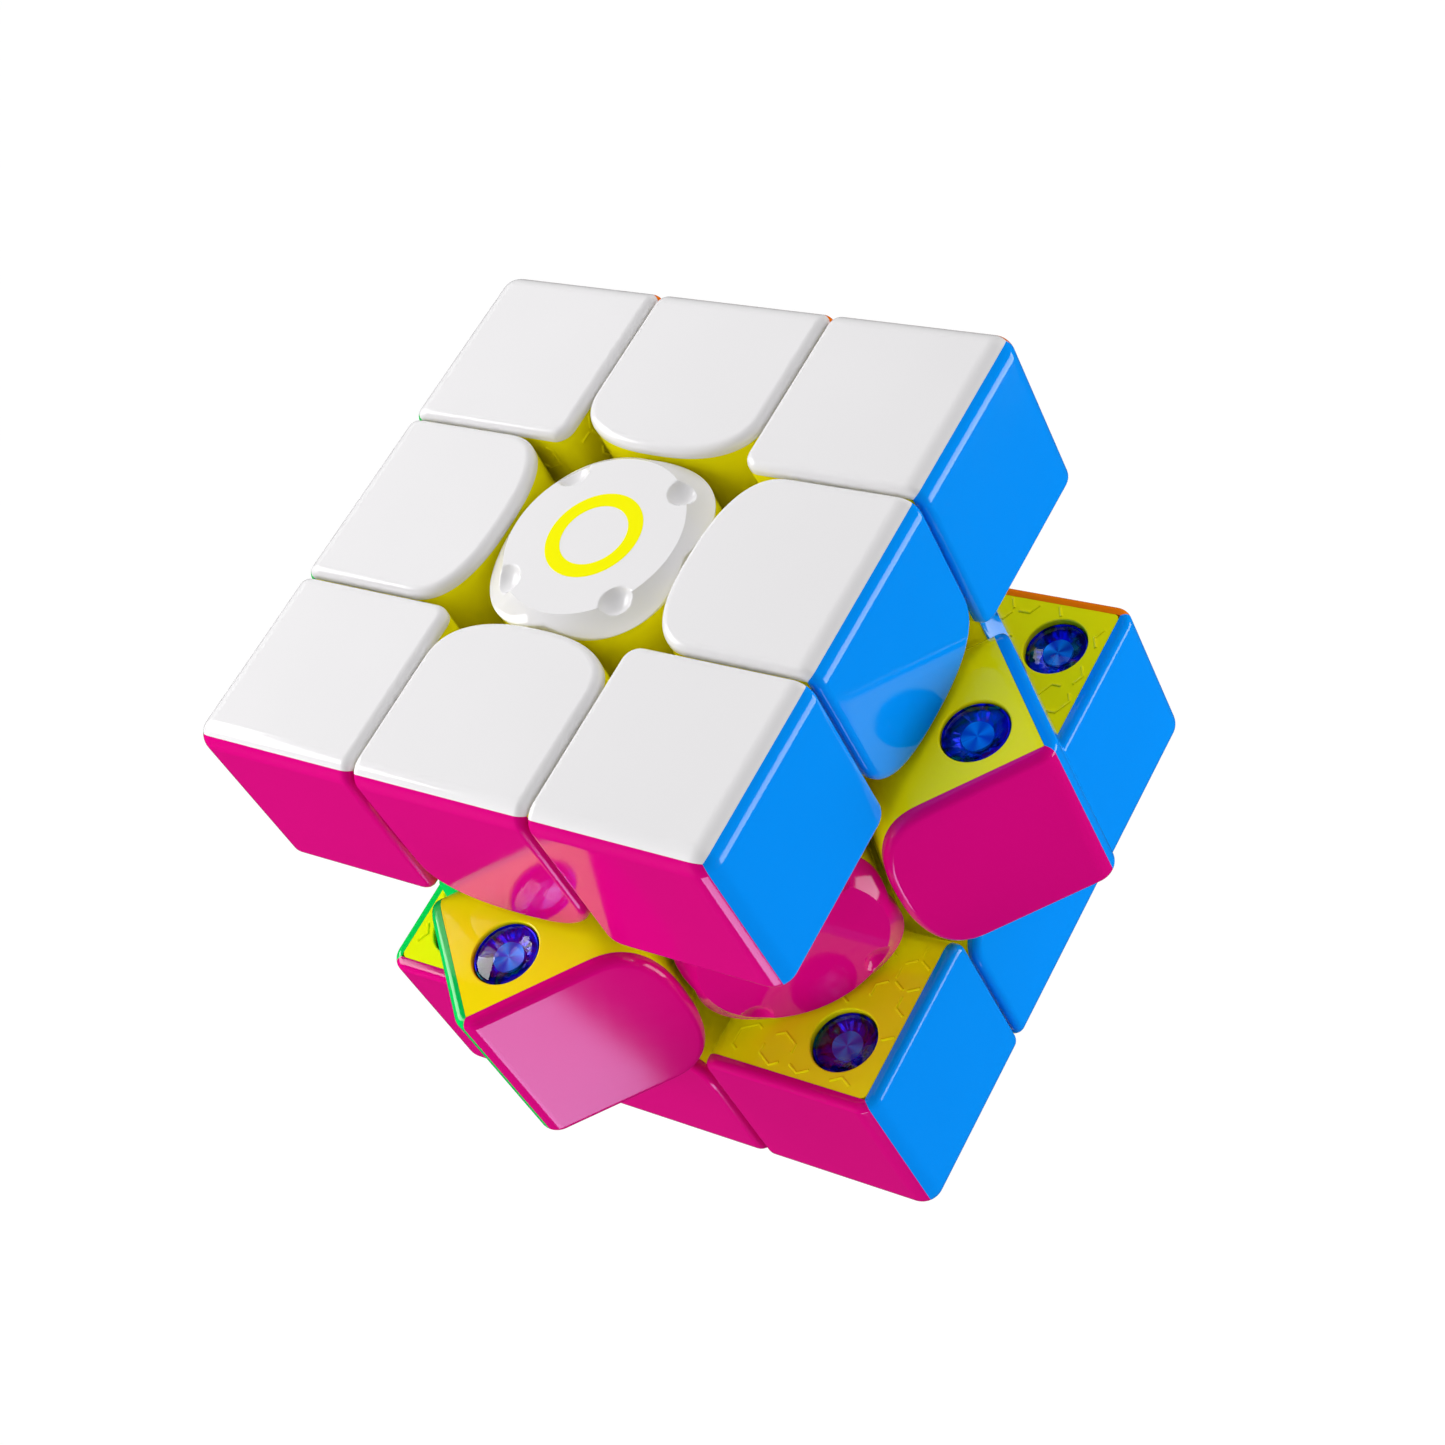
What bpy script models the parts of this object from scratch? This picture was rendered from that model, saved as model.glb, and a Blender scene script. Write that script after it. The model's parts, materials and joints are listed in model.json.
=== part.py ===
"""A twisty puzzle cube of three layers, at rest with its middle layer an eighth of a turn round.

The origin is the centre of the core. +Z is up through the top layer, -Y is the front and +X is the right.
Outside the foot ball, a layer meets the next one at a plane half the middle width from the origin. Inside
the ball it meets it at a closer plane, so the feet of each layer reach under the layers beside it and hold
it as it turns.
"""

import math

import bmesh
import bpy
from mathutils import Matrix, Vector

MM = 0.001

# The whole cube
CUBE_SIDE = 56.0 * MM
MIDDLE_WIDTH = 19.0 * MM
MIDDLE_TURN = math.radians(45.0)
PIECE_GAP = 0.4 * MM
FIT = 0.3 * MM
OUTER_FILLET = 2.0 * MM
SIDE_FILLET = 1.4 * MM

# Feet under the pieces, cut from a hollow ball
NECK_DEPTH = 3.05 * MM
FOOT_THICKNESS = 5.5 * MM
FOOT_SLOT = 11.0 * MM
NECK_STEP = 0.3 * MM

# Corner shells and the bodies inside them
SHELL_LAND = 0.2 * MM

# Edge pieces, with a rounded inner end on both faces
EDGE_SETBACK = 0.5 * MM
EDGE_ROUND = 5.5 * MM
EDGE_ROUND_POWER = 2.5

# Pockets for the magnets, in the faces where pieces meet
MAGNET_INSET = 5.9 * MM
MAGNET_RADIUS = 3.0 * MM
POCKET_DEPTH = 3.0 * MM

# Centre caps, with four lobes and a dimple on each
CAP_RECESS = 0.1 * MM
CAP_THICKNESS = 2.4 * MM
CAP_SIDE_GAP = 0.5 * MM
LOBE_REACH = 1.7 * MM
FLAT_INSET = 0.6 * MM
CAP_SLOPE = math.radians(22.0)
DIMPLE_RADIUS = 1.55 * MM
DIMPLE_DEPTH = 0.7 * MM
PLUG_LENGTH = 2.0 * MM

# Core, screws, springs and tension nuts
CORE_CLEARANCE = 0.6 * MM
CORE_FLAT_DEPTH = 0.8 * MM
CENTRE_FLOOR = 1.5 * MM
CUP_RADIUS = 4.0 * MM
SCREW_RADIUS = 1.4 * MM
SCREW_GRIP = 7.0 * MM
HEAD_RADIUS = 2.4 * MM
HEAD_HEIGHT = 1.5 * MM
HEAD_SINK = 0.6 * MM
SOCKET_RADIUS = 1.2 * MM
SOCKET_DEPTH = 0.9 * MM
NUT_THICKNESS = 1.5 * MM
NUT_NOTCH = 0.5 * MM
SPRING_WIRE = 0.35 * MM
SPRING_RADIUS = 2.7 * MM
SPRING_PITCH = 1.6 * MM

# Facets
FILLET_STEPS = 2
ROUND_STEPS = 8
BALL_SEGMENTS = 20
CORE_SEGMENTS = 16
CAP_SEGMENTS = 32
DIMPLE_SEGMENTS = 8
CUP_SEGMENTS = 16
BORE_SEGMENTS = 10
NUT_NOTCHES = 6
CURL_POINTS = 8
WELD = 0.01 * MM

# What follows from the sizes above
HALF = CUBE_SIDE / 2
OUTER_LIMIT = MIDDLE_WIDTH / 2 + PIECE_GAP / 2
MIDDLE_LIMIT = MIDDLE_WIDTH / 2 - PIECE_GAP / 2
FOOT_LIMIT = FOOT_SLOT / 2 + PIECE_GAP / 2
STALK_LIMIT = FOOT_SLOT / 2 - PIECE_GAP / 2
FOOT_BALL = math.sqrt(3) * MIDDLE_WIDTH / 2 + NECK_DEPTH
FOOT_OUTSIDE = FOOT_BALL - PIECE_GAP / 2
FOOT_INSIDE = FOOT_BALL - FOOT_THICKNESS + PIECE_GAP / 2
SEAT_RADIUS = FOOT_BALL + PIECE_GAP / 2
SHELL_WALL = SIDE_FILLET + SHELL_LAND
MAGNET_PLACE = HALF - MAGNET_INSET
CAP_FLANK = MIDDLE_WIDTH / 2 - CAP_SIDE_GAP
CAP_LOBE = CAP_FLANK + LOBE_REACH
CAP_FLAT_RADIUS = CAP_FLANK - FLAT_INSET
CORE_RADIUS = FOOT_BALL - FOOT_THICKNESS - CORE_CLEARANCE
CORE_FLAT = CORE_RADIUS - CORE_FLAT_DEPTH
FLOOR_BOTTOM = CORE_FLAT + FIT
FLOOR_TOP = FLOOR_BOTTOM + CENTRE_FLOOR
CAP_TOP = HALF - CAP_RECESS
CAP_BOTTOM = CAP_TOP - CAP_THICKNESS
CENTRE_TOP = CAP_BOTTOM - FIT
HEAD_TOP = CENTRE_TOP - HEAD_SINK
HEAD_BOTTOM = HEAD_TOP - HEAD_HEIGHT
NUT_TOP = HEAD_BOTTOM - FIT
NUT_BOTTOM = NUT_TOP - NUT_THICKNESS
SPRING_TOP = NUT_BOTTOM - FIT
SPRING_BOTTOM = FLOOR_TOP + FIT
SCREW_END = CORE_FLAT - SCREW_GRIP
BORE_RADIUS = SCREW_RADIUS + FIT

FACES = {
    "top": Vector((0, 0, 1)),
    "bottom": Vector((0, 0, -1)),
    "front": Vector((0, -1, 0)),
    "right": Vector((1, 0, 0)),
    "back": Vector((0, 1, 0)),
    "left": Vector((-1, 0, 0)),
}
SIDES = ("front", "right", "back", "left")


def clear_scene():
    for obj in list(bpy.data.objects):
        bpy.data.objects.remove(obj)


def new_collection(name):
    collection = bpy.data.collections.new(name)
    bpy.context.scene.collection.children.link(collection)
    return collection


def plastic(name, colour, roughness=0.15, metallic=0.0):
    material = bpy.data.materials.new(name)
    material.use_nodes = True
    shader = material.node_tree.nodes["Principled BSDF"]
    shader.inputs["Base Color"].default_value = (*colour, 1)
    shader.inputs["Roughness"].default_value = roughness
    shader.inputs["Metallic"].default_value = metallic
    material.diffuse_color = (*colour, 1)
    return material


def helper(name, mesh):
    """A shape that other shapes are made from, kept out of the finished object."""
    obj = bpy.data.objects.new(name, mesh)
    CUTTERS.objects.link(obj)
    obj.hide_render = True
    obj.display_type = "WIRE"
    return obj


def helper_from(name, bm):
    mesh = bpy.data.meshes.new(name)
    bmesh.ops.recalc_face_normals(bm, faces=bm.faces)
    bm.to_mesh(mesh)
    bm.free()
    return helper(name, mesh)


def box(name, low, high):
    bm = bmesh.new()
    size = Matrix.Diagonal((*(Vector(high) - Vector(low)), 1))
    middle = Matrix.Translation((Vector(high) + Vector(low)) / 2)
    bmesh.ops.create_cube(bm, size=1, matrix=middle @ size)
    return helper_from(name, bm)


def ball(name, radius, segments=BALL_SEGMENTS):
    """A faceted ball that lies inside the true one."""
    bm = bmesh.new()
    bmesh.ops.create_uvsphere(bm, u_segments=segments, v_segments=segments // 2, radius=radius)
    return helper_from(name, bm)


def rod(name, radius, bottom, top, segments=BORE_SEGMENTS, place=Matrix.Identity(4)):
    """A cylinder along its own Z, then moved by place."""
    bm = bmesh.new()
    middle = Matrix.Translation((0, 0, (bottom + top) / 2))
    bmesh.ops.create_cone(
        bm,
        cap_ends=True,
        segments=segments,
        radius1=radius,
        radius2=radius,
        depth=top - bottom,
        matrix=place @ middle,
    )
    return helper_from(name, bm)


def evaluated_mesh(obj):
    graph = bpy.context.evaluated_depsgraph_get()
    return bpy.data.meshes.new_from_object(obj.evaluated_get(graph))


def plate(name, outline, bottom, top, turn=Matrix.Identity(4)):
    """A flat outline in XY given a thickness from bottom to top, then turned."""
    curve = bpy.data.curves.new(name, "CURVE")
    curve.dimensions = "2D"
    curve.fill_mode = "BOTH"
    curve.extrude = (top - bottom) / 2
    spline = curve.splines.new("POLY")
    spline.points.add(len(outline) - 1)
    for point, (x, y) in zip(spline.points, outline):
        point.co = (x, y, 0, 1)
    spline.use_cyclic_u = True
    flat = bpy.data.objects.new(name, curve)
    CUTTERS.objects.link(flat)
    bm = bmesh.new()
    bm.from_mesh(evaluated_mesh(flat))
    bpy.data.objects.remove(flat)
    bmesh.ops.remove_doubles(bm, verts=bm.verts, dist=WELD)
    bmesh.ops.dissolve_limit(bm, angle_limit=math.radians(1), verts=bm.verts, edges=bm.edges)
    bmesh.ops.transform(bm, verts=bm.verts, matrix=turn @ Matrix.Translation((0, 0, (bottom + top) / 2)))
    return helper_from(name, bm)


def turned(name, profile, steps=BORE_SEGMENTS):
    """A profile of (radius, height) points, listed from the top down, spun about Z."""
    mesh = bpy.data.meshes.new(name)
    points = [(radius, 0, height) for radius, height in profile]
    mesh.from_pydata(points, [(i, i + 1) for i in range(len(points) - 1)], [])
    obj = helper(name, mesh)
    screw = obj.modifiers.new("spin", "SCREW")
    screw.steps = steps
    screw.render_steps = steps
    screw.use_merge_vertices = True
    screw.merge_threshold = WELD
    return obj


def combine(base, operation, *others):
    for other in others:
        boolean = base.modifiers.new(other.name, "BOOLEAN")
        boolean.operation = operation
        boolean.solver = "EXACT"
        boolean.object = other
    return base


def shaped(base, name):
    """The finished mesh of a shape, with its flat faces whole and its round ones smooth."""
    bm = bmesh.new()
    bm.from_mesh(evaluated_mesh(base))
    bmesh.ops.remove_doubles(bm, verts=bm.verts, dist=WELD / 10)
    bmesh.ops.dissolve_limit(bm, angle_limit=math.radians(0.2), verts=bm.verts, edges=bm.edges)
    mesh = bpy.data.meshes.new(name)
    bm.to_mesh(mesh)
    bm.free()
    mesh.shade_smooth()
    mesh.set_sharp_from_angle(angle=math.radians(35))
    return mesh


def rounded(mesh, edge_test, radius, steps):
    """Rounds those edges of a mesh that pass the test."""
    bm = bmesh.new()
    bm.from_mesh(mesh)
    edges = [edge for edge in bm.edges if edge_test(edge)]
    bmesh.ops.bevel(
        bm,
        geom=edges,
        offset=radius,
        offset_type="OFFSET",
        segments=steps,
        profile=0.5,
        affect="EDGES",
    )
    bm.to_mesh(mesh)
    bm.free()


def along(first, second):
    """A test for the edges that run along both of two planes, each given as an axis and a value."""
    planes = (first, second)
    return lambda edge: all(abs(v.co[axis] - value) < WELD for v in edge.verts for axis, value in planes)


def on_rim(*outward):
    """A test for the edges between the faces that look some way along these axes and those that don't."""

    def looks_out(face):
        return any(round(face.normal.dot(axis), 2) > 0 for axis in outward)

    return lambda edge: len({looks_out(face) for face in edge.link_faces}) == 2


def paint(mesh, colour_of):
    """Sets each face's material index from its middle."""
    for face in mesh.polygons:
        face.material_index = colour_of(face.center)


def facing(axis):
    """The turn that takes +Z to an axis of the cube."""
    return Vector((0, 0, 1)).rotation_difference(axis).to_matrix().to_4x4()


def node(name, data, layer, turn, materials):
    """One piece of the finished object, hung on its layer, with its origin at the centre of the cube."""
    obj = bpy.data.objects.new(name, data)
    CUBE.objects.link(obj)
    obj.parent = layer
    obj.matrix_local = turn
    while len(data.materials) < len(materials):
        data.materials.append(None)
    for slot, material in zip(obj.material_slots, materials):
        slot.link = "OBJECT"
        slot.material = material
    return obj


def pocket(name, place):
    """A cutter for one magnet's pocket, sunk along place's +Z from the face at its origin."""
    return rod(name, MAGNET_RADIUS + FIT / 2, -POCKET_DEPTH, POCKET_DEPTH, BORE_SEGMENTS, place)


def foot(name, low, high):
    """The part of the hollow foot ball that lies inside a box."""
    block = box(name, low, high)
    combine(block, "INTERSECT", ball(name + "_outside", FOOT_OUTSIDE))
    combine(block, "DIFFERENCE", ball(name + "_inside", FOOT_INSIDE))
    return block


def outside_seat(name, column):
    """A cutter for the seat over the foot ball, faceted round the true ball, with a column left in it."""
    facet_share = math.cos(math.pi / BALL_SEGMENTS) ** 2
    return combine(ball(name, SEAT_RADIUS / facet_share), "DIFFERENCE", column)


def edge_outline():
    """An edge's face in XY: straight sides, an outer end at half the cube and a superellipse as inner end."""
    inner = MIDDLE_WIDTH / 2 + EDGE_SETBACK
    power = 2 / EDGE_ROUND_POWER
    points = [(MIDDLE_LIMIT, -HALF), (-MIDDLE_LIMIT, -HALF)]
    for step in range(ROUND_STEPS + 1):
        angle = math.pi * step / ROUND_STEPS
        across = -MIDDLE_LIMIT * math.copysign(abs(math.cos(angle)) ** power, math.cos(angle))
        reach = inner + EDGE_ROUND * (1 - math.sin(angle) ** power)
        points.append((across, -reach))
    return points


def cap_outline():
    """A centre's lobed outline, trimmed where it would leave its own slice."""
    middle = (CAP_LOBE + CAP_FLANK) / 2
    swing = (CAP_LOBE - CAP_FLANK) / 2
    points = []
    for step in range(CAP_SEGMENTS):
        angle = 2 * math.pi * step / CAP_SEGMENTS
        slice_edge = MIDDLE_LIMIT / max(abs(math.cos(angle)), abs(math.sin(angle)))
        radius = min(middle - swing * math.cos(4 * angle), slice_edge)
        points.append((radius * math.cos(angle), radius * math.sin(angle)))
    return points


def corner_block(name, outside, fillet):
    """A block in the +X +Y +Z octant, rounded where its outer faces meet and where its inner faces meet."""
    block = box(name, [OUTER_LIMIT] * 3, [outside] * 3)
    for reach, radius in ((outside, fillet), (OUTER_LIMIT, SHELL_WALL)):
        tests = [along((a, reach), (b, reach)) for a, b in ((0, 1), (1, 2), (0, 2))]
        rounded(block.data, lambda edge: any(test(edge) for test in tests), radius, FILLET_STEPS)
    return block


def corner_shell_mesh():
    """The three-coloured outside of a corner, modelled in the +X +Y +Z octant."""
    block = corner_block("shell_block", HALF, OUTER_FILLET)
    rounded(block.data, on_rim(FACES["right"], FACES["back"], FACES["top"]), SIDE_FILLET, FILLET_STEPS)
    hollow = box("shell_hollow", [OUTER_LIMIT - HALF] * 3, [HALF - SHELL_WALL] * 3)
    mesh = shaped(combine(block, "DIFFERENCE", hollow), "corner_shell")
    paint(mesh, lambda middle: max(range(3), key=lambda axis: middle[axis]))
    return mesh


def corner_body_mesh():
    """The inside of a corner, with its foot and its three magnet pockets, in the +X +Y +Z octant."""
    outside = HALF - SHELL_WALL - FIT
    block = corner_block("corner_block", outside, OUTER_FILLET - SIDE_FILLET)
    combine(block, "UNION", foot("corner_foot", [FOOT_LIMIT] * 3, [HALF] * 3))
    for axis in range(3):
        spot = Vector((MAGNET_PLACE, MAGNET_PLACE, MAGNET_PLACE))
        spot[axis] = OUTER_LIMIT
        inward = Vector((0, 0, 0))
        inward[axis] = 1
        place = Matrix.Translation(spot) @ facing(inward)
        combine(block, "DIFFERENCE", pocket(f"corner_pocket_{axis}", place))
    return shaped(block, "corner_body")


def edge_mesh():
    """An edge piece, modelled at the top front: its faces look along +Z and -Y, and its ends along X."""
    top = plate("edge_top_face", edge_outline(), 0, CUBE_SIDE)
    lie_down = Matrix.Rotation(math.radians(-90), 4, "X")
    front = plate("edge_front_face", edge_outline(), -CUBE_SIDE, 0, lie_down)
    blank = helper("edge_blank", shaped(combine(top, "INTERSECT", front), "edge_blank"))
    rounded(blank.data, along((2, HALF), (1, -HALF)), OUTER_FILLET, FILLET_STEPS)
    rounded(blank.data, on_rim(FACES["top"], FACES["front"]), SIDE_FILLET, FILLET_STEPS)
    neck = STALK_LIMIT - NECK_STEP
    column = box("edge_neck", (-neck, -CUBE_SIDE, -CUBE_SIDE), (neck, CUBE_SIDE, CUBE_SIDE))
    combine(blank, "DIFFERENCE", outside_seat("edge_seat", column))
    low = (-STALK_LIMIT, -HALF, FOOT_LIMIT)
    combine(blank, "UNION", foot("edge_foot", low, (STALK_LIMIT, -FOOT_LIMIT, HALF)))
    for side in (-1, 1):
        spot = Vector((side * MIDDLE_LIMIT, -MAGNET_PLACE, MAGNET_PLACE))
        place = Matrix.Translation(spot) @ facing(Vector((-side, 0, 0)))
        combine(blank, "DIFFERENCE", pocket(f"edge_pocket_{side}", place))
    mesh = shaped(blank, "edge")
    skin = HALF - SIDE_FILLET - WELD

    def colour_of(middle):
        if max(middle.z, -middle.y) < skin:
            return 0
        return 1 if middle.z > -middle.y else 2

    paint(mesh, colour_of)
    return mesh


def centre_mesh():
    """A centre's body, modelled on +Z: a lobed flange, a square stalk and a cup for the spring."""
    body = plate("centre_flange", cap_outline(), FLOOR_BOTTOM, CENTRE_TOP)
    column = box("centre_stalk", [-STALK_LIMIT] * 2 + [0], [STALK_LIMIT] * 2 + [CUBE_SIDE])
    combine(body, "DIFFERENCE", outside_seat("centre_seat", column))
    combine(body, "DIFFERENCE", rod("centre_cup", CUP_RADIUS, FLOOR_TOP, CUBE_SIDE, CUP_SEGMENTS))
    combine(body, "DIFFERENCE", rod("centre_bore", BORE_RADIUS, 0, CUBE_SIDE))
    return shaped(body, "centre")


def cap_mesh():
    """A centre cap on +Z: lobed, flat in the middle, sloping to the lobes, with dimples and a plug below."""
    reach = max(CAP_LOBE, CAP_FLANK)
    drop = (reach - CAP_FLAT_RADIUS) * math.tan(CAP_SLOPE)
    slope_end = CAP_FLAT_RADIUS + (reach - CAP_FLAT_RADIUS) * 2
    cone = turned(
        "cap_slope",
        [(0, CAP_TOP), (CAP_FLAT_RADIUS, CAP_TOP), (slope_end, CAP_TOP - 2 * drop), (slope_end, 0), (0, 0)],
        CAP_SEGMENTS,
    )
    cap = plate("cap_plate", cap_outline(), CAP_BOTTOM, CUBE_SIDE)
    combine(cap, "INTERSECT", cone)
    dimple_ball = (DIMPLE_RADIUS**2 + DIMPLE_DEPTH**2) / (2 * DIMPLE_DEPTH)
    for quarter in range(4):
        angle = math.pi / 4 + quarter * math.pi / 2
        spot = Vector((math.cos(angle), math.sin(angle), 0)) * CAP_FLAT_RADIUS
        dimple = ball(f"cap_dimple_{quarter}", dimple_ball, DIMPLE_SEGMENTS)
        up = Matrix.Translation(spot + Vector((0, 0, CAP_TOP - DIMPLE_DEPTH + dimple_ball)))
        dimple.data.transform(up)
        combine(cap, "DIFFERENCE", dimple)
    plug_top = CAP_BOTTOM + CAP_THICKNESS / 2
    plug = rod("cap_plug", CUP_RADIUS - FIT, CAP_BOTTOM - PLUG_LENGTH, plug_top, CUP_SEGMENTS)
    combine(cap, "UNION", plug)
    hollow = rod("cap_plug_bore", HEAD_RADIUS + FIT, 0, CAP_BOTTOM + CAP_THICKNESS / 4)
    return shaped(combine(cap, "DIFFERENCE", hollow), "cap")


def core_mesh():
    """The ball that carries the six screws, with a flat and a screw hole on every axis."""
    core = ball("core_ball", CORE_RADIUS, CORE_SEGMENTS)
    cube = box("core_flats", [-CORE_FLAT] * 3, [CORE_FLAT] * 3)
    combine(core, "INTERSECT", cube)
    for name, axis in FACES.items():
        hole = rod(f"core_hole_{name}", BORE_RADIUS, SCREW_END - FIT, HALF, BORE_SEGMENTS, facing(axis))
        combine(core, "DIFFERENCE", hole)
    return shaped(core, "core")


def screw_mesh():
    """A screw on +Z, with a plain shank, a flat head and a six-sided socket."""
    profile = [
        (0, HEAD_TOP),
        (HEAD_RADIUS, HEAD_TOP),
        (HEAD_RADIUS, HEAD_BOTTOM),
        (SCREW_RADIUS, HEAD_BOTTOM),
        (SCREW_RADIUS, SCREW_END + SCREW_RADIUS / 2),
        (SCREW_RADIUS / 2, SCREW_END),
        (0, SCREW_END),
    ]
    screw = turned("screw_blank", profile)
    socket = rod("screw_socket", SOCKET_RADIUS, HEAD_TOP - SOCKET_DEPTH, CUBE_SIDE, 6)
    return shaped(combine(screw, "DIFFERENCE", socket), "screw")


def nut_mesh():
    """A tension nut on +Z, a disc with a bore and notches in its rim to turn it by."""
    radius = CUP_RADIUS - FIT
    nut = rod("nut_blank", radius, NUT_BOTTOM, NUT_TOP, 2 * NUT_NOTCHES)
    combine(nut, "DIFFERENCE", rod("nut_bore", BORE_RADIUS, 0, CUBE_SIDE))
    for notch in range(NUT_NOTCHES):
        angle = 2 * math.pi * notch / NUT_NOTCHES
        place = Matrix.Translation((radius * math.cos(angle), radius * math.sin(angle), 0))
        combine(nut, "DIFFERENCE", rod(f"nut_notch_{notch}", NUT_NOTCH, 0, CUBE_SIDE, 4, place))
    return shaped(nut, "nut")


def spring_curve():
    """A compression spring on +Z as one helical tube, between the cup's floor and the nut."""
    low = SPRING_BOTTOM + SPRING_WIRE
    rise = SPRING_TOP - SPRING_WIRE - low
    turns = math.floor(2 * rise / SPRING_PITCH) / 2
    count = round(turns * CURL_POINTS) + 1
    points = []
    for step in range(count):
        angle = 2 * math.pi * step / CURL_POINTS
        height = low + rise * step / (count - 1)
        points.append(Vector((SPRING_RADIUS * math.cos(angle), SPRING_RADIUS * math.sin(angle), height)))
    next_turn = zip(points, points[CURL_POINTS:])
    gap = min((b - a).length for a, b in next_turn) - 2 * SPRING_WIRE
    print(f"spring: {turns} turns, least gap to itself {gap / MM:.2f} mm")
    curve = bpy.data.curves.new("spring", "CURVE")
    curve.dimensions = "3D"
    curve.bevel_depth = SPRING_WIRE
    curve.bevel_resolution = 1
    curve.use_fill_caps = True
    spline = curve.splines.new("POLY")
    spline.points.add(count - 1)
    for point, place in zip(spline.points, points):
        point.co = (*place, 1)
    return curve


def frame_of(x, y, z):
    """The turn that takes the X, Y and Z axes to these three."""
    return Matrix((x, y, z)).transposed().to_4x4()


def layer_of(*faces):
    if "top" in faces:
        return LAYERS["top"]
    return LAYERS["bottom"] if "bottom" in faces else LAYERS["middle"]


def add_corner(level, first, second):
    """One corner and its shell. The first and second side follow each other counter-clockwise from above."""
    names = (first, second) if level == "top" else (second, first)
    turn = frame_of(FACES[names[0]], FACES[names[1]], FACES[level])
    depth, side = (first, second) if first in ("front", "back") else (second, first)
    place = f"{level}_{depth}_{side}"
    colours = [COLOURS[names[0]], COLOURS[names[1]], COLOURS[level]]
    node("corner_shell_" + place, CORNER_SHELL, LAYERS[level], turn, colours)
    node("corner_" + place, CORNER_BODY, LAYERS[level], turn, [INNER_YELLOW])


def add_edge(name, up, front):
    """One edge, with its two faces turned to these faces of the cube."""
    back = -FACES[front]
    turn = frame_of(back.cross(FACES[up]), back, FACES[up])
    node(name, EDGE, layer_of(up, front), turn, [INNER_YELLOW, COLOURS[up], COLOURS[front]])


def add_axis(face):
    """What lies along one axis of the core: screw, spring, nut, centre and cap."""
    turn = facing(FACES[face])
    node("screw_" + face, SCREW, LAYERS["middle"], turn, [STEEL])
    node("spring_" + face, SPRING, LAYERS["middle"], turn, [STEEL])
    node("tension_nut_" + face, NUT, LAYERS["middle"], turn, [NUT_GREY])
    node("centre_" + face, CENTRE, layer_of(face), turn, [INNER_YELLOW])
    node("centre_cap_" + face, CAP, layer_of(face), turn, [COLOURS[face]])


clear_scene()
CUBE = new_collection("twisty_puzzle_cube")
CUTTERS = new_collection("cutters")
COLOURS = {
    "top": plastic("white_plastic", (0.80, 0.79, 0.80)),
    "bottom": plastic("yellow_plastic", (0.90, 0.78, 0.0)),
    "front": plastic("magenta_plastic", (0.62, 0.0, 0.18)),
    "right": plastic("blue_plastic", (0.0, 0.25, 0.90)),
    "back": plastic("orange_plastic", (0.90, 0.25, 0.0)),
    "left": plastic("green_plastic", (0.0, 0.60, 0.12)),
}
INNER_YELLOW = plastic("inner_yellow_plastic", (0.85, 0.75, 0.0))
NUT_GREY = plastic("nut_grey_plastic", (0.25, 0.25, 0.27), 0.4)
STEEL = plastic("steel", (0.55, 0.55, 0.57), 0.3, 1.0)

CORNER_SHELL = corner_shell_mesh()
CORNER_BODY = corner_body_mesh()
EDGE = edge_mesh()
CENTRE = centre_mesh()
CAP = cap_mesh()
CORE = core_mesh()
SCREW = screw_mesh()
NUT = nut_mesh()
SPRING = spring_curve()

LAYERS = {}
for level in ("bottom", "middle", "top"):
    LAYERS[level] = bpy.data.objects.new(level + "_layer", None)
    CUBE.objects.link(LAYERS[level])
LAYERS["middle"].rotation_euler.z = MIDDLE_TURN

node("core", CORE, LAYERS["middle"], Matrix.Identity(4), [INNER_YELLOW])
for face in FACES:
    add_axis(face)
for number, side in enumerate(SIDES):
    next_side = SIDES[(number + 1) % len(SIDES)]
    depth, across = (side, next_side) if side in ("front", "back") else (next_side, side)
    add_edge("edge_top_" + side, "top", side)
    add_edge("edge_bottom_" + side, "bottom", side)
    add_edge(f"edge_middle_{depth}_{across}", across, depth)
    add_corner("top", side, next_side)
    add_corner("bottom", side, next_side)
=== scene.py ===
"""The looks of a three-layer twisty puzzle cube: coloured caps on yellow bodies, and magnets like jewels.

The origin is the centre of the core. +Z is up through the white face, -Y is the magenta front and +X is the
blue right. Lengths are in metres. The middle layer rests an eighth of a turn round.
"""

import json
import math

import bmesh
import bpy
from mathutils import Matrix, Vector

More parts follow.
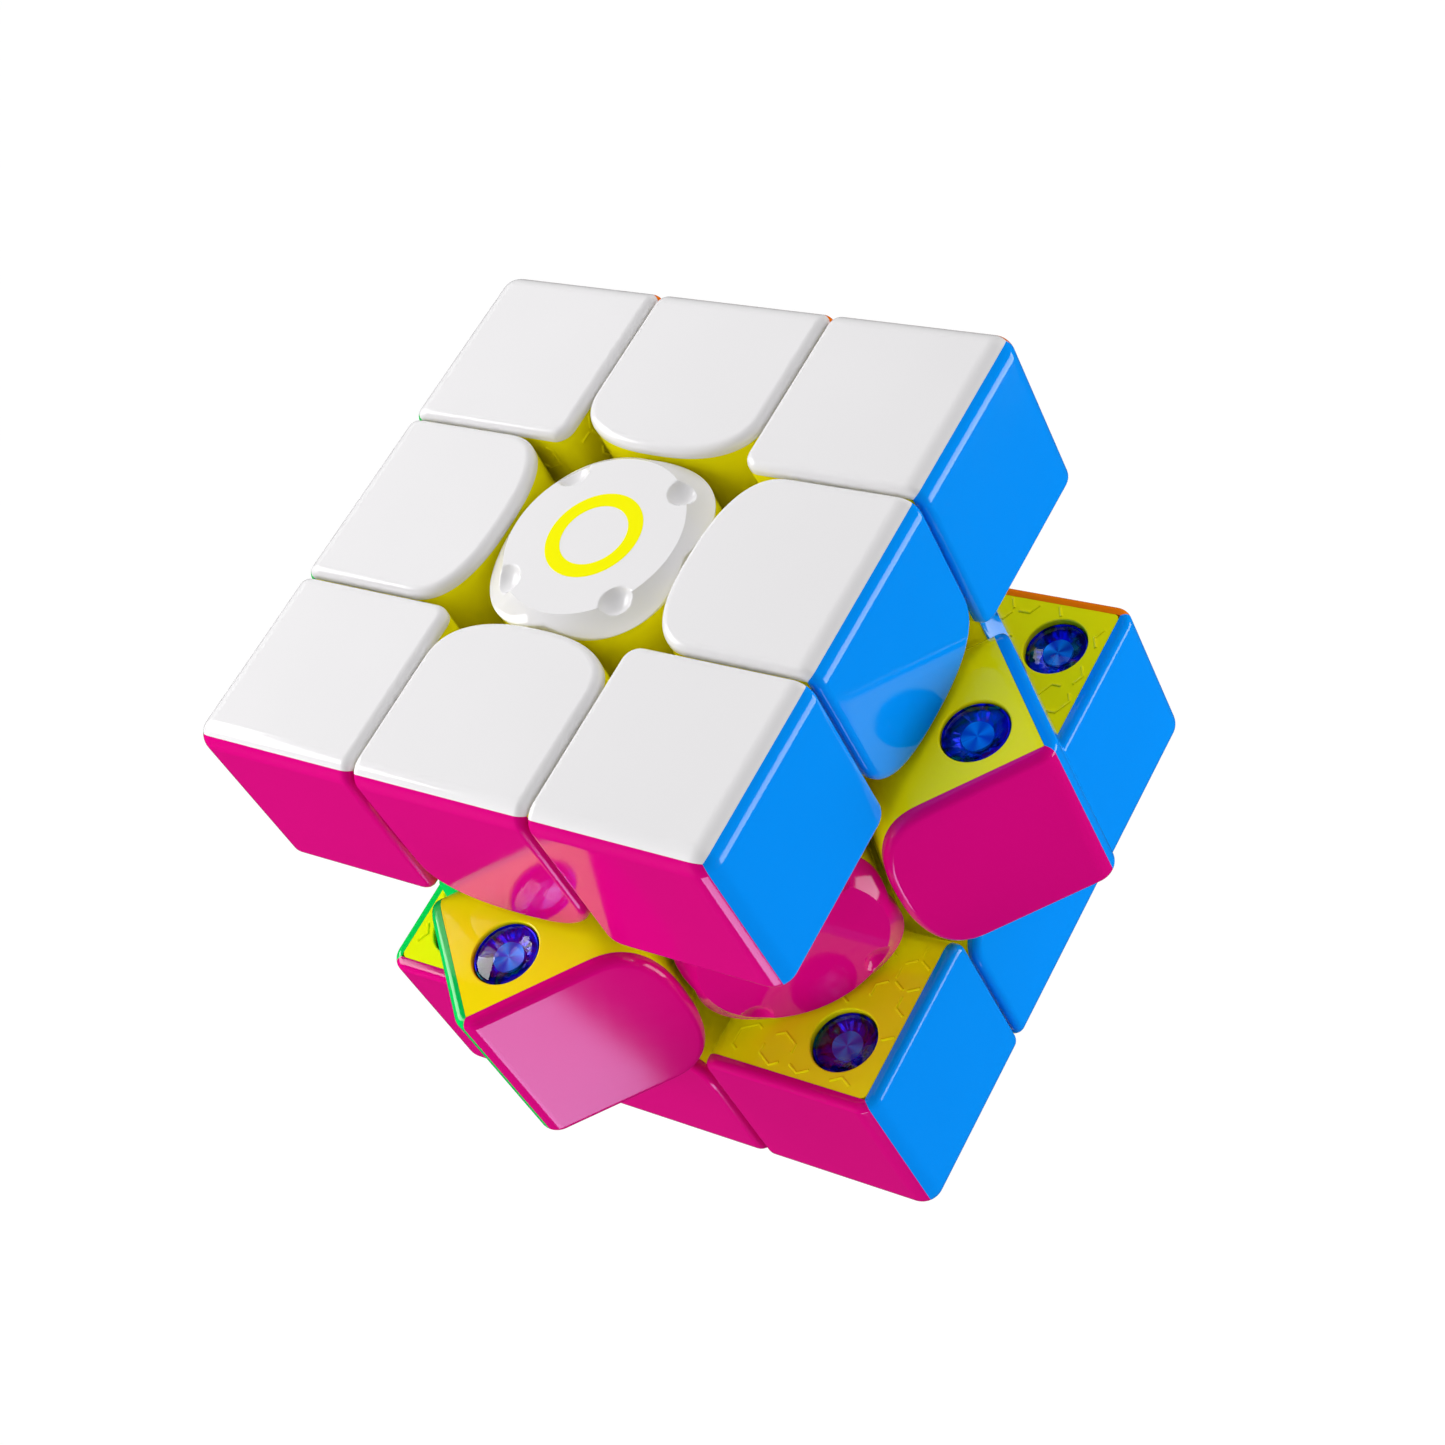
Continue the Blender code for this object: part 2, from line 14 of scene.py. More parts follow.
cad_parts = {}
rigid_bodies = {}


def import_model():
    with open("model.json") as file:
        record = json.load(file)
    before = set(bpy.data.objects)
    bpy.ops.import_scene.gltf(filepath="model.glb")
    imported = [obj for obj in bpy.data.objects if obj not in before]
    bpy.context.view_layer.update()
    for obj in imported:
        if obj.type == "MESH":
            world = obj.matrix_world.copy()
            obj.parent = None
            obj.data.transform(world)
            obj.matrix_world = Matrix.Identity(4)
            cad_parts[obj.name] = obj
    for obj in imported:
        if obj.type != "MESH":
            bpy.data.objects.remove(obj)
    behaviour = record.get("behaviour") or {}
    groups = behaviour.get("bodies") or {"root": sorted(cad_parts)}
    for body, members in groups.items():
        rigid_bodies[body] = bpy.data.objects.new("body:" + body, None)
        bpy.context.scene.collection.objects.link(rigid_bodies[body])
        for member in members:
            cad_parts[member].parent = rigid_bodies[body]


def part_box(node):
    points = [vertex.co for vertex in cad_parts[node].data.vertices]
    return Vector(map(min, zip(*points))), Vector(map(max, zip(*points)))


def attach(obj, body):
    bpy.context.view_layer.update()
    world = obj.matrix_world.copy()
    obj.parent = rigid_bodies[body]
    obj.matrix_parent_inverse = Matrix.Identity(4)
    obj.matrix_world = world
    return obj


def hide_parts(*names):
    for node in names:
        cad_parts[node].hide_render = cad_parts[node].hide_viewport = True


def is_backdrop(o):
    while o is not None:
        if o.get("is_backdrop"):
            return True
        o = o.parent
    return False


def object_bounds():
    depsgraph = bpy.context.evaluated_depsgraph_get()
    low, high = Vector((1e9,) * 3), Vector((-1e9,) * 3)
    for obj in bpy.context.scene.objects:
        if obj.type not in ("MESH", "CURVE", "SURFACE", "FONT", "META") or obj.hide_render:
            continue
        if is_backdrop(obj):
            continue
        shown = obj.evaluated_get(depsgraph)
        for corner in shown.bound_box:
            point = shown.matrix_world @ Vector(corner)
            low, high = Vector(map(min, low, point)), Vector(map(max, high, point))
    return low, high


for leftover in list(bpy.data.objects):
    bpy.data.objects.remove(leftover)
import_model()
cad_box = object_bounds()


# Core: the ball at the very middle, moulded in yellow nylon like the bodies round it. It has a flat land
# and a blind hole on each of six axes, and the six screws cut their own thread in those holes.
MM = 0.001
WELD = 0.001 * MM
CORE_RADIUS = 13.4 * MM
CORE_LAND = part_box("core")[1].z
CORE_HOLE = 1.7 * MM
CORE_HOLE_END = 5.3 * MM
BODY_YELLOW = (0.95, 0.88, 0.003)
PLASTIC_INDEX = 1.50
NYLON_SHEEN = 0.3
UNTURNED = Matrix.Identity(4)
EIGHTH_TURN = Matrix.Rotation(math.radians(45), 4, "Z")
AXES = {
    "top": Vector((0, 0, 1)),
    "bottom": Vector((0, 0, -1)),
    "front": Vector((0, -1, 0)),
    "right": Vector((1, 0, 0)),
    "back": Vector((0, 1, 0)),
    "left": Vector((-1, 0, 0)),
}


def mesh_of(shape):
    """A plain mesh from an edited one, with its faces looking outwards."""
    mesh = bpy.data.meshes.new("shape")
    bmesh.ops.recalc_face_normals(shape, faces=shape.faces)
    shape.to_mesh(mesh)
    shape.free()
    return mesh


def ball(radius, segments=64):
    shape = bmesh.new()
    bmesh.ops.create_uvsphere(shape, u_segments=segments, v_segments=segments // 2, radius=radius)
    return mesh_of(shape)


def block(low, high):
    shape = bmesh.new()
    size = Matrix.Diagonal((*(Vector(high) - Vector(low)), 1))
    middle = Matrix.Translation((Vector(high) + Vector(low)) / 2)
    bmesh.ops.create_cube(shape, size=1, matrix=middle @ size)
    return mesh_of(shape)


def rod(radius, bottom, top, place=UNTURNED, sides=48):
    """A round bar along its own Z, then moved to its place."""
    shape = bmesh.new()
    middle = place @ Matrix.Translation((0, 0, (bottom + top) / 2))
    ends = {"radius1": radius, "radius2": radius, "depth": top - bottom}
    bmesh.ops.create_cone(shape, cap_ends=True, segments=sides, matrix=middle, **ends)
    return mesh_of(shape)


def facing(axis):
    """The turn that takes +Z to an axis of the cube."""
    return Vector((0, 0, 1)).rotation_difference(axis).to_matrix().to_4x4()


def on_bench(name, mesh):
    """Lays a mesh out as an object at the origin."""
    obj = bpy.data.objects.new(name, mesh)
    bpy.context.scene.collection.objects.link(obj)
    return obj


def off_bench(obj):
    """Takes an object away and keeps its mesh, with its modifiers worked in."""
    graph = bpy.context.evaluated_depsgraph_get()
    worked = obj.evaluated_get(graph)
    mesh = bpy.data.meshes.new_from_object(worked, preserve_all_data_layers=True, depsgraph=graph)
    bpy.data.objects.remove(obj)
    return mesh


def carve(mesh, operation, *tools):
    """A mesh joined to, cut by or kept within each tool in turn."""
    blank = on_bench("blank", mesh)
    helpers = [on_bench("tool", tool) for tool in tools]
    for helper in helpers:
        step = blank.modifiers.new("carve", "BOOLEAN")
        step.operation = operation
        step.solver = "EXACT"
        step.object = helper
    result = off_bench(blank)
    for helper in helpers:
        bpy.data.objects.remove(helper)
    return result


def cleaned(mesh):
    """A carved mesh with its points merged and its flat faces whole."""
    shape = bmesh.new()
    shape.from_mesh(mesh)
    bmesh.ops.remove_doubles(shape, verts=shape.verts, dist=WELD)
    bmesh.ops.dissolve_limit(shape, angle_limit=math.radians(0.2), verts=shape.verts, edges=shape.edges)
    return mesh_of(shape)


def faired(mesh, crease=35):
    """A mesh shaded so that flats stay flat, rounds are smooth and edges past the crease angle are crisp."""
    mesh.shade_smooth()
    mesh.set_sharp_from_angle(angle=math.radians(crease))
    obj = on_bench("faired", mesh)
    weigh = obj.modifiers.new("weigh", "WEIGHTED_NORMAL")
    weigh.mode = "FACE_AREA"
    weigh.weight = 100
    weigh.keep_sharp = True
    return off_bench(obj)


def turned_copy(mesh, turn):
    copy = mesh.copy()
    copy.transform(turn)
    return copy


def fit(name, mesh, material, body, slot, *nodes):
    """Fits a finished piece to the cube: it rides on a body and stands for these nodes; slot is not used."""
    piece = on_bench(name, mesh)
    mesh.materials.clear()
    mesh.materials.append(material)
    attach(piece, body)
    if nodes:
        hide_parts(*nodes)
    return piece


def add(tree, kind, wiring=None, **settings):
    """Adds a node to a tree. Its inputs, by name or number, take a value or another node's output."""
    node = tree.nodes.new(kind)
    for key, value in settings.items():
        setattr(node, key, value)
    for key, value in (wiring or {}).items():
        if isinstance(value, bpy.types.NodeSocket):
            tree.links.new(value, node.inputs[key])
        else:
            node.inputs[key].default_value = value
    return node


def new_material(name):
    """A material's tree and its shader, to be wired by the finish that asks for it."""
    material = bpy.data.materials.new(name)
    material.use_nodes = True
    return material, material.node_tree, material.node_tree.nodes["Principled BSDF"]


def moulded_plastic(name, colour, shine=(0.05, 0.10), ripple=0.04, sheen=0.4):
    """Glossy moulded plastic: a drift of tone, fine cloudiness in the gloss and a mould's faint ripple."""
    material, tree, shader = new_material(name)
    shader.inputs["IOR"].default_value = PLASTIC_INDEX
    shader.inputs["Specular IOR Level"].default_value = sheen
    place = add(tree, "ShaderNodeTexCoord").outputs["Object"]
    drift = add(tree, "ShaderNodeTexNoise", {"Vector": place, "Scale": 60.0, "Detail": 2.0})
    pale = (*colour, 1)
    deep = (*(0.95 * channel for channel in colour), 1)
    tone = add(tree, "ShaderNodeMix", {0: drift.outputs[0], 6: deep, 7: pale}, data_type="RGBA")
    tree.links.new(tone.outputs[2], shader.inputs["Base Color"])
    cloud = add(tree, "ShaderNodeTexNoise", {"Vector": place, "Scale": 900.0, "Detail": 3.0})
    gloss = {"Value": cloud.outputs[0], "To Min": shine[0], "To Max": shine[1]}
    tree.links.new(add(tree, "ShaderNodeMapRange", gloss).outputs[0], shader.inputs["Roughness"])
    swell = add(tree, "ShaderNodeTexNoise", {"Vector": place, "Scale": 220.0, "Detail": 1.0})
    relief = {"Strength": ripple, "Distance": 0.02 * MM, "Height": swell.outputs[0]}
    tree.links.new(add(tree, "ShaderNodeBump", relief).outputs[0], shader.inputs["Normal"])
    return material


inner_yellow = moulded_plastic("inner_yellow_plastic", BODY_YELLOW, sheen=NYLON_SHEEN)
core_ball = carve(ball(CORE_RADIUS), "INTERSECT", block([-CORE_LAND] * 3, [CORE_LAND] * 3))
core_holes = [rod(CORE_HOLE, CORE_HOLE_END, CORE_RADIUS, facing(axis), 24) for axis in AXES.values()]
core_mesh = turned_copy(faired(cleaned(carve(core_ball, "DIFFERENCE", *core_holes))), EIGHTH_TURN)
fit("core_ball", core_mesh, inner_yellow, "middle_layer", "inner_yellow", "core")


# Screws: six steel machine screws that hold the centres to the core, one on each axis. Each is a turned blank
# with a rolled thread and a pressed six-sided socket, and it shows only where a cap is off.
SHANK_RADIUS = 1.25 * MM
SCREW_END = 5.6 * MM
THREAD_TOP = 12.2 * MM
THREAD_PITCH = 0.7 * MM
THREAD_DEPTH = 0.16 * MM
HEAD_RADIUS = 2.4 * MM
HEAD_BOTTOM = 23.1 * MM
HEAD_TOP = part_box("screw_top")[1].z
HEAD_EDGE = 0.25 * MM
SOCKET_RADIUS = 1.2 * MM
SOCKET_DEPTH = 0.9 * MM


def turned(profile, steps=64):
    """A closed profile of (radius, height) points, spun about Z."""
    shape = bmesh.new()
    points = [shape.verts.new((radius, 0, height)) for radius, height in profile]
    edges = [shape.edges.new(pair) for pair in zip(points, points[1:])]
    bmesh.ops.spin(shape, geom=points + edges, axis=(0, 0, 1), angle=2 * math.pi, steps=steps, use_merge=True)
    bmesh.ops.remove_doubles(shape, verts=shape.verts, dist=WELD)
    return mesh_of(shape)


def stations(places):
    """Loose points, each with the place and the turn of one copy of a piece."""
    mesh = bpy.data.meshes.new("stations")
    mesh.from_pydata([place.translation for place in places], [], [])
    turns = mesh.attributes.new("turn", "QUATERNION", "POINT")
    for item, place in zip(turns.data, places):
        item.value = place.to_quaternion()
    return mesh


def new_tree(name, sizes):
    """A node tree that takes a base mesh and these named inputs, with the outputs of its input node."""
    tree = bpy.data.node_groups.new(name, "GeometryNodeTree")
    tree.interface.new_socket("Geometry", in_out="OUTPUT", socket_type="NodeSocketGeometry")
    tree.interface.new_socket("Base", in_out="INPUT", socket_type="NodeSocketGeometry")
    kinds = {float: "NodeSocketFloat", int: "NodeSocketInt"}
    kinds[bpy.types.Object] = "NodeSocketObject"
    kinds[bpy.types.Material] = "NodeSocketMaterial"
    for label, value in sizes.items():
        tree.interface.new_socket(label, in_out="INPUT", socket_type=kinds[type(value)])
    return tree, add(tree, "NodeGroupInput").outputs


def end_tree(tree, given, geometry):
    """Closes a tree: its instances are made real and take the finish."""
    real = add(tree, "GeometryNodeRealizeInstances", {"Geometry": geometry})
    dressed = {"Geometry": real.outputs[0], "Material": given["Finish"]}
    coat = add(tree, "GeometryNodeSetMaterial", dressed)
    add(tree, "NodeGroupOutput", {"Geometry": coat.outputs[0]})


def set_out(tree, given, piece):
    """Closes a tree with one copy of a piece at each station."""
    turn = add(tree, "GeometryNodeInputNamedAttribute", {"Name": "turn"}, data_type="QUATERNION")
    copies = {"Points": given["Base"], "Instance": piece, "Rotation": turn.outputs[0]}
    end_tree(tree, given, add(tree, "GeometryNodeInstanceOnPoints", copies).outputs[0])


def grow(tree, base, sizes):
    """The plain mesh that a tree makes on a base mesh, with its inputs set to these sizes."""
    obj = on_bench("grown", base)
    modifier = obj.modifiers.new(tree.name, "NODES")
    modifier.node_group = tree
    for item in tree.interface.items_tree:
        if item.name in sizes:
            modifier[item.identifier] = sizes[item.name]
    return off_bench(obj)


def wire_along(tree, path, radius, sides=8):
    """A round wire along a curve, with closed ends."""
    ring = add(tree, "GeometryNodeCurvePrimitiveCircle", {"Resolution": sides, "Radius": radius})
    wire = {"Curve": path, "Profile Curve": ring.outputs[0], "Fill Caps": True}
    return add(tree, "GeometryNodeCurveToMesh", wire).outputs[0]


def helix(tree, given, sizes, points):
    """A helix about Z from its lower end. Its radius, turns, height and start are inputs of the tree."""
    radius, turns, height, start = (given[size] for size in sizes)
    spiral = {"Resolution": points, "Rotations": turns, "Start Radius": radius, "End Radius": radius}
    curl = add(tree, "GeometryNodeCurveSpiral", {**spiral, "Height": height})
    lift = add(tree, "ShaderNodeCombineXYZ", {"Z": start})
    raised = {"Geometry": curl.outputs[0], "Translation": lift.outputs[0]}
    return add(tree, "GeometryNodeTransform", raised).outputs[0]


def turned_steel(name, colour, roughness):
    """Bright steel with the fine lines and uneven gloss of a turned or drawn surface."""
    material, tree, shader = new_material(name)
    shader.inputs["Metallic"].default_value = 1.0
    place = add(tree, "ShaderNodeTexCoord").outputs["Object"]
    grain = add(tree, "ShaderNodeTexNoise", {"Vector": place, "Scale": 2500.0, "Detail": 4.0})
    gloss = {"Value": grain.outputs[0], "To Min": 0.7 * roughness, "To Max": 1.3 * roughness}
    tree.links.new(add(tree, "ShaderNodeMapRange", gloss).outputs[0], shader.inputs["Roughness"])
    dull = (*(0.85 * channel for channel in colour), 1)
    tone = add(tree, "ShaderNodeMix", {0: grain.outputs[0], 6: dull, 7: (*colour, 1)}, data_type="RGBA")
    tree.links.new(tone.outputs[2], shader.inputs["Base Color"])
    relief = {"Strength": 0.1, "Distance": 0.01 * MM, "Height": grain.outputs[0]}
    tree.links.new(add(tree, "ShaderNodeBump", relief).outputs[0], shader.inputs["Normal"])
    return material


screw_steel = turned_steel("screw_steel", (0.60, 0.60, 0.62), 0.25)
screw_profile = [
    (0, HEAD_TOP),
    (HEAD_RADIUS - HEAD_EDGE, HEAD_TOP),
    (HEAD_RADIUS, HEAD_TOP - HEAD_EDGE),
    (HEAD_RADIUS, HEAD_BOTTOM),
    (SHANK_RADIUS, HEAD_BOTTOM),
    (SHANK_RADIUS, SCREW_END + SHANK_RADIUS / 2),
    (SHANK_RADIUS / 2, SCREW_END),
    (0, SCREW_END),
]
socket = rod(SOCKET_RADIUS, HEAD_TOP - SOCKET_DEPTH, HEAD_TOP + SOCKET_DEPTH, sides=6)
screw_blank = on_bench("screw_blank", cleaned(carve(turned(screw_profile, 32), "DIFFERENCE", socket)))
thread_start = SCREW_END + SHANK_RADIUS
screw_sizes = {
    "Blank": screw_blank,
    "Shank Radius": SHANK_RADIUS,
    "Thread Turns": (THREAD_TOP - thread_start) / THREAD_PITCH,
    "Thread Length": THREAD_TOP - thread_start,
    "Thread Start": thread_start,
    "Thread Depth": THREAD_DEPTH,
    "Finish": screw_steel,
}
screw_tree, given = new_tree("screws_on_six_axes", screw_sizes)
turned_blank = add(screw_tree, "GeometryNodeObjectInfo", {"Object": given["Blank"]})
thread_line = helix(
    screw_tree, given, ("Shank Radius", "Thread Turns", "Thread Length", "Thread Start"), points=20
)
thread = wire_along(screw_tree, thread_line, given["Thread Depth"], 5)
screw_join = add(screw_tree, "GeometryNodeJoinGeometry", {0: thread})
screw_tree.links.new(turned_blank.outputs["Geometry"], screw_join.inputs[0])
set_out(screw_tree, given, screw_join.outputs[0])
axis_turns = [EIGHTH_TURN @ facing(axis) for axis in AXES.values()]
screws = grow(screw_tree, stations(axis_turns), screw_sizes)
bpy.data.objects.remove(screw_blank)
fit("screws", faired(screws), screw_steel, "middle_layer", "screw_steel", *("screw_" + face for face in AXES))


# Springs: six compression springs of drawn steel wire. Each is wound round a screw and pressed between the
# floor of a centre's cup and its tension nut, so that the layers can give a little as they turn.
SPRING_WIRE = 0.35 * MM
SPRING_RADIUS = 2.7 * MM
SPRING_TURNS = 3.5
SPRING_LOW, SPRING_HIGH = (corner.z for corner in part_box("spring_top"))

spring_steel = turned_steel("spring_steel", (0.55, 0.55, 0.58), 0.2)
spring_sizes = {
    "Coil Radius": SPRING_RADIUS,
    "Coil Turns": SPRING_TURNS,
    "Coil Height": SPRING_HIGH - SPRING_LOW - 2 * SPRING_WIRE,
    "Coil Start": SPRING_LOW + SPRING_WIRE,
    "Wire Radius": SPRING_WIRE,
    "Finish": spring_steel,
}
spring_tree, given = new_tree("springs_on_six_axes", spring_sizes)
coil = helix(spring_tree, given, ("Coil Radius", "Coil Turns", "Coil Height", "Coil Start"), points=48)
set_out(spring_tree, given, wire_along(spring_tree, coil, given["Wire Radius"], 12))
springs = grow(spring_tree, stations(axis_turns), spring_sizes)
spring_nodes = ["spring_" + face for face in AXES]
fit("springs", faired(springs), spring_steel, "middle_layer", "spring_steel", *spring_nodes)


# Tension nuts: a small grey plastic disc on each screw, under its head. A turn of it by the notches in its
# rim presses the spring harder or lets it go, which sets how tight the layers are.
NUT_RADIUS = 3.7 * MM
NUT_LOW, NUT_HIGH = (corner.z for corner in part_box("tension_nut_top"))
NUT_NOTCHES = 6
NOTCH_RADIUS = 0.5 * MM
NUT_DISH_RADIUS = 3.0 * MM
NUT_DISH_DEPTH = 0.25 * MM
NUT_EDGE = 0.2 * MM

nut_grey = moulded_plastic("nut_grey_plastic", (0.24, 0.24, 0.26), shine=(0.30, 0.45))
nut_profile = [
    (CORE_HOLE, NUT_HIGH),
    (CORE_HOLE, NUT_LOW),
    (NUT_RADIUS - NUT_EDGE, NUT_LOW),
    (NUT_RADIUS, NUT_LOW + NUT_EDGE),
    (NUT_RADIUS, NUT_HIGH - NUT_EDGE),
    (NUT_RADIUS - NUT_EDGE, NUT_HIGH),
    (NUT_DISH_RADIUS, NUT_HIGH),
    (NUT_DISH_RADIUS - NUT_EDGE, NUT_HIGH - NUT_DISH_DEPTH),
    (CORE_HOLE + 2 * NUT_EDGE, NUT_HIGH - NUT_DISH_DEPTH),
    (CORE_HOLE + NUT_EDGE, NUT_HIGH),
    (CORE_HOLE, NUT_HIGH),
]
notches = []
for number in range(NUT_NOTCHES):
    angle = 2 * math.pi * number / NUT_NOTCHES
    rim = Matrix.Translation((NUT_RADIUS * math.cos(angle), NUT_RADIUS * math.sin(angle), 0))
    notches.append(rod(NOTCH_RADIUS, NUT_LOW - NUT_EDGE, NUT_HIGH + NUT_EDGE, rim, 16))
nut_mesh = faired(cleaned(carve(turned(nut_profile), "DIFFERENCE", *notches)))
for face, turn in zip(AXES, axis_turns):
    nut = turned_copy(nut_mesh, turn)
    fit("tension_disc_" + face, nut, nut_grey, "nut_" + face, "nut_plastic", "tension_nut_" + face)


# Centre bodies: a yellow moulding on each axis, with a flange of the cap's lobed outline, a square stalk
# that the feet of the other pieces slide round, and a cup for the spring. Its screw holds it to the core.
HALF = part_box("corner_shell_top_back_right")[1].z
SLICE_LIMIT = 9.3 * MM
FLANK_RADIUS = 9.3 * MM
LOBES = 4
LOBE_RADIUS = 10.65 * MM
LOBE_BREADTH = 0.65
FLANGE_INSET = 0.05 * MM
STALK_HALF = 5.3 * MM
SEAT_RADIUS = 19.7 * MM
CUP_RADIUS = 4.0 * MM
CUP_FLOOR = 14.4 * MM
CENTRE_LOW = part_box("centre_top")[0].z
CENTRE_HIGH = 26.15 * MM
FLANGE_STEPS = 96


def lobed(angle):
    """The radius of a centre's outline: widest on the diagonals, narrowest towards the edges."""
    swing = ((1 - math.cos(LOBES * angle)) / 2) ** LOBE_BREADTH
    return FLANK_RADIUS + (LOBE_RADIUS - FLANK_RADIUS) * swing


def prism(outline, bottom, top, place=UNTURNED):
    """A flat outline given a thickness, then moved to its place."""
    shape = bmesh.new()
    floor = shape.faces.new([shape.verts.new((x, y, bottom)) for x, y in outline])
    walls = bmesh.ops.extrude_face_region(shape, geom=[floor])
    lid = [part for part in walls["geom"] if isinstance(part, bmesh.types.BMVert)]
    bmesh.ops.translate(shape, verts=lid, vec=(0, 0, top - bottom))
    bmesh.ops.transform(shape, verts=shape.verts, matrix=place)
    return mesh_of(shape)


def layer_of(*faces):
    """The body that a piece with these faces turns with."""
    if "top" in faces:
        return "top_layer"
    return "bottom_layer" if "bottom" in faces else "middle_layer"


def layer_turn(body):
    return EIGHTH_TURN if body == "middle_layer" else UNTURNED


flange = []
for step in range(FLANGE_STEPS):
    angle = 2 * math.pi * step / FLANGE_STEPS
    reach = lobed(angle) - FLANGE_INSET
    flange.append((reach * math.cos(angle), reach * math.sin(angle)))
stalk = block([-STALK_HALF] * 2 + [0], [STALK_HALF] * 2 + [2 * HALF])
centre_seat = carve(ball(SEAT_RADIUS), "DIFFERENCE", stalk)
centre_cup = rod(CUP_RADIUS, CUP_FLOOR, HALF)
centre_bore = rod(CORE_HOLE, 0, HALF, sides=24)
centre_blank = prism(flange, CENTRE_LOW, CENTRE_HIGH)
centre_mesh = faired(cleaned(carve(centre_blank, "DIFFERENCE", centre_seat, centre_cup, centre_bore)))
for face, axis in AXES.items():
    body = layer_of(face)
    centre = turned_copy(centre_mesh, layer_turn(body) @ facing(axis))
    fit("centre_body_" + face, centre, inner_yellow, body, "inner_yellow", "centre_" + face)


# Edge bodies: twelve yellow mouldings, two for each side of a face. Each has a rounded inner end on both of
# its faces, a foot that reaches under the centres, and a pocket for a magnet in both of its ends.
SIDES = ("front", "right", "back", "left")
EDGE_REACH = 10.0 * MM
EDGE_ROUND = 5.5 * MM
EDGE_POWER = 2.5
EDGE_STEPS = 40
SHELL_WALL = 1.15 * MM
SHELL_SEAM = 0.03 * MM
FOOT_OUTSIDE = 19.3 * MM
FOOT_INSIDE = 14.2 * MM
FOOT_LIMIT = 5.7 * MM
NECK_HALF = 5.0 * MM
MAGNET_PLACE = 22.1 * MM
POCKET_RADIUS = 3.15 * MM
POCKET_DEPTH = 3.0 * MM
POCKET_EDGE = 0.18 * MM
FOOT_SEGMENTS = 48


def edge_outline():
    """An edge's face in XY: straight sides and a superellipse as its inner end."""
    power = 2 / EDGE_POWER
    points = [(SLICE_LIMIT, -HALF), (-SLICE_LIMIT, -HALF)]
    for step in range(EDGE_STEPS + 1):
        angle = math.pi * step / EDGE_STEPS
        across = -SLICE_LIMIT * math.copysign(abs(math.cos(angle)) ** power, math.cos(angle))
        points.append((across, -EDGE_REACH - EDGE_ROUND * (1 - abs(math.sin(angle)) ** power)))
    return points


def round_edges(mesh, test, radius, steps):
    """A mesh with a fillet on those edges that pass a test."""
    shape = bmesh.new()
    shape.from_mesh(mesh)
    edges = [edge for edge in shape.edges if test(edge)]
    fillet = {"offset": radius, "offset_type": "OFFSET", "segments": steps, "profile": 0.5, "affect": "EDGES"}
    bmesh.ops.bevel(shape, geom=edges, **fillet)
    return mesh_of(shape)


def round_mouth(mesh, spot, axis):
    """A mesh with the mouth of one magnet's pocket rounded."""

    def on_mouth(edge):
        for vert in edge.verts:
            away = vert.co - spot
            if abs(away[axis]) > WELD or abs(away.length - POCKET_RADIUS) > 10 * WELD:
                return False
        return True

    return round_edges(mesh, on_mouth, POCKET_EDGE, 3)


def foot(low, high):
    """The part of the hollow foot ball that lies inside a block."""
    shell = carve(block(low, high), "INTERSECT", ball(FOOT_OUTSIDE, FOOT_SEGMENTS))
    return carve(shell, "DIFFERENCE", ball(FOOT_INSIDE, FOOT_SEGMENTS))


def edge_places():
    """Each edge's node, body and turn, and the faces that its own +Z and -Y turn to."""
    for side, following in zip(SIDES, SIDES[1:] + SIDES[:1]):
        depth, across = (side, following) if side in ("front", "back") else (following, side)
        middle = (f"edge_middle_{depth}_{across}", across, depth)
        outer = [(f"edge_{level}_{side}", level, side) for level in ("top", "bottom")]
        for node, up, front in (*outer, middle):
            body = layer_of(up, front)
            back = -AXES[front]
            turn = Matrix((back.cross(AXES[up]), back, AXES[up])).transposed().to_4x4()
            yield node, body, layer_turn(body) @ turn, (up, front)


lie_down = Matrix.Rotation(math.radians(-90), 4, "X")
edge_front = prism(edge_outline(), -2 * HALF, 0, lie_down)
edge_blank = cleaned(carve(prism(edge_outline(), 0, 2 * HALF), "INTERSECT", edge_front))
skin = HALF - SHELL_WALL - SHELL_SEAM
edge_core = carve(edge_blank, "INTERSECT", block((-HALF, -skin, 0), (HALF, 0, skin)))
neck = block((-NECK_HALF, -2 * HALF, -2 * HALF), (NECK_HALF, 2 * HALF, 2 * HALF))
edge_core = carve(edge_core, "DIFFERENCE", carve(ball(SEAT_RADIUS, FOOT_SEGMENTS), "DIFFERENCE", neck))
edge_core = carve(edge_core, "UNION", foot((-STALK_HALF, -HALF, FOOT_LIMIT), (STALK_HALF, -FOOT_LIMIT, HALF)))
edge_spots = [Vector((end * SLICE_LIMIT, -MAGNET_PLACE, MAGNET_PLACE)) for end in (-1, 1)]
edge_pockets = []
for spot in edge_spots:
    place = Matrix.Translation(spot) @ facing(AXES["right"])
    edge_pockets.append(rod(POCKET_RADIUS, -POCKET_DEPTH, POCKET_DEPTH, place))
edge_core = cleaned(carve(edge_core, "DIFFERENCE", *edge_pockets))
for spot in edge_spots:
    edge_core = round_mouth(edge_core, spot, 0)
edge_mesh = faired(edge_core)
for node, body, turn, faces in edge_places():
    fit(node + "_body", turned_copy(edge_mesh, turn), inner_yellow, body, "inner_yellow", node)


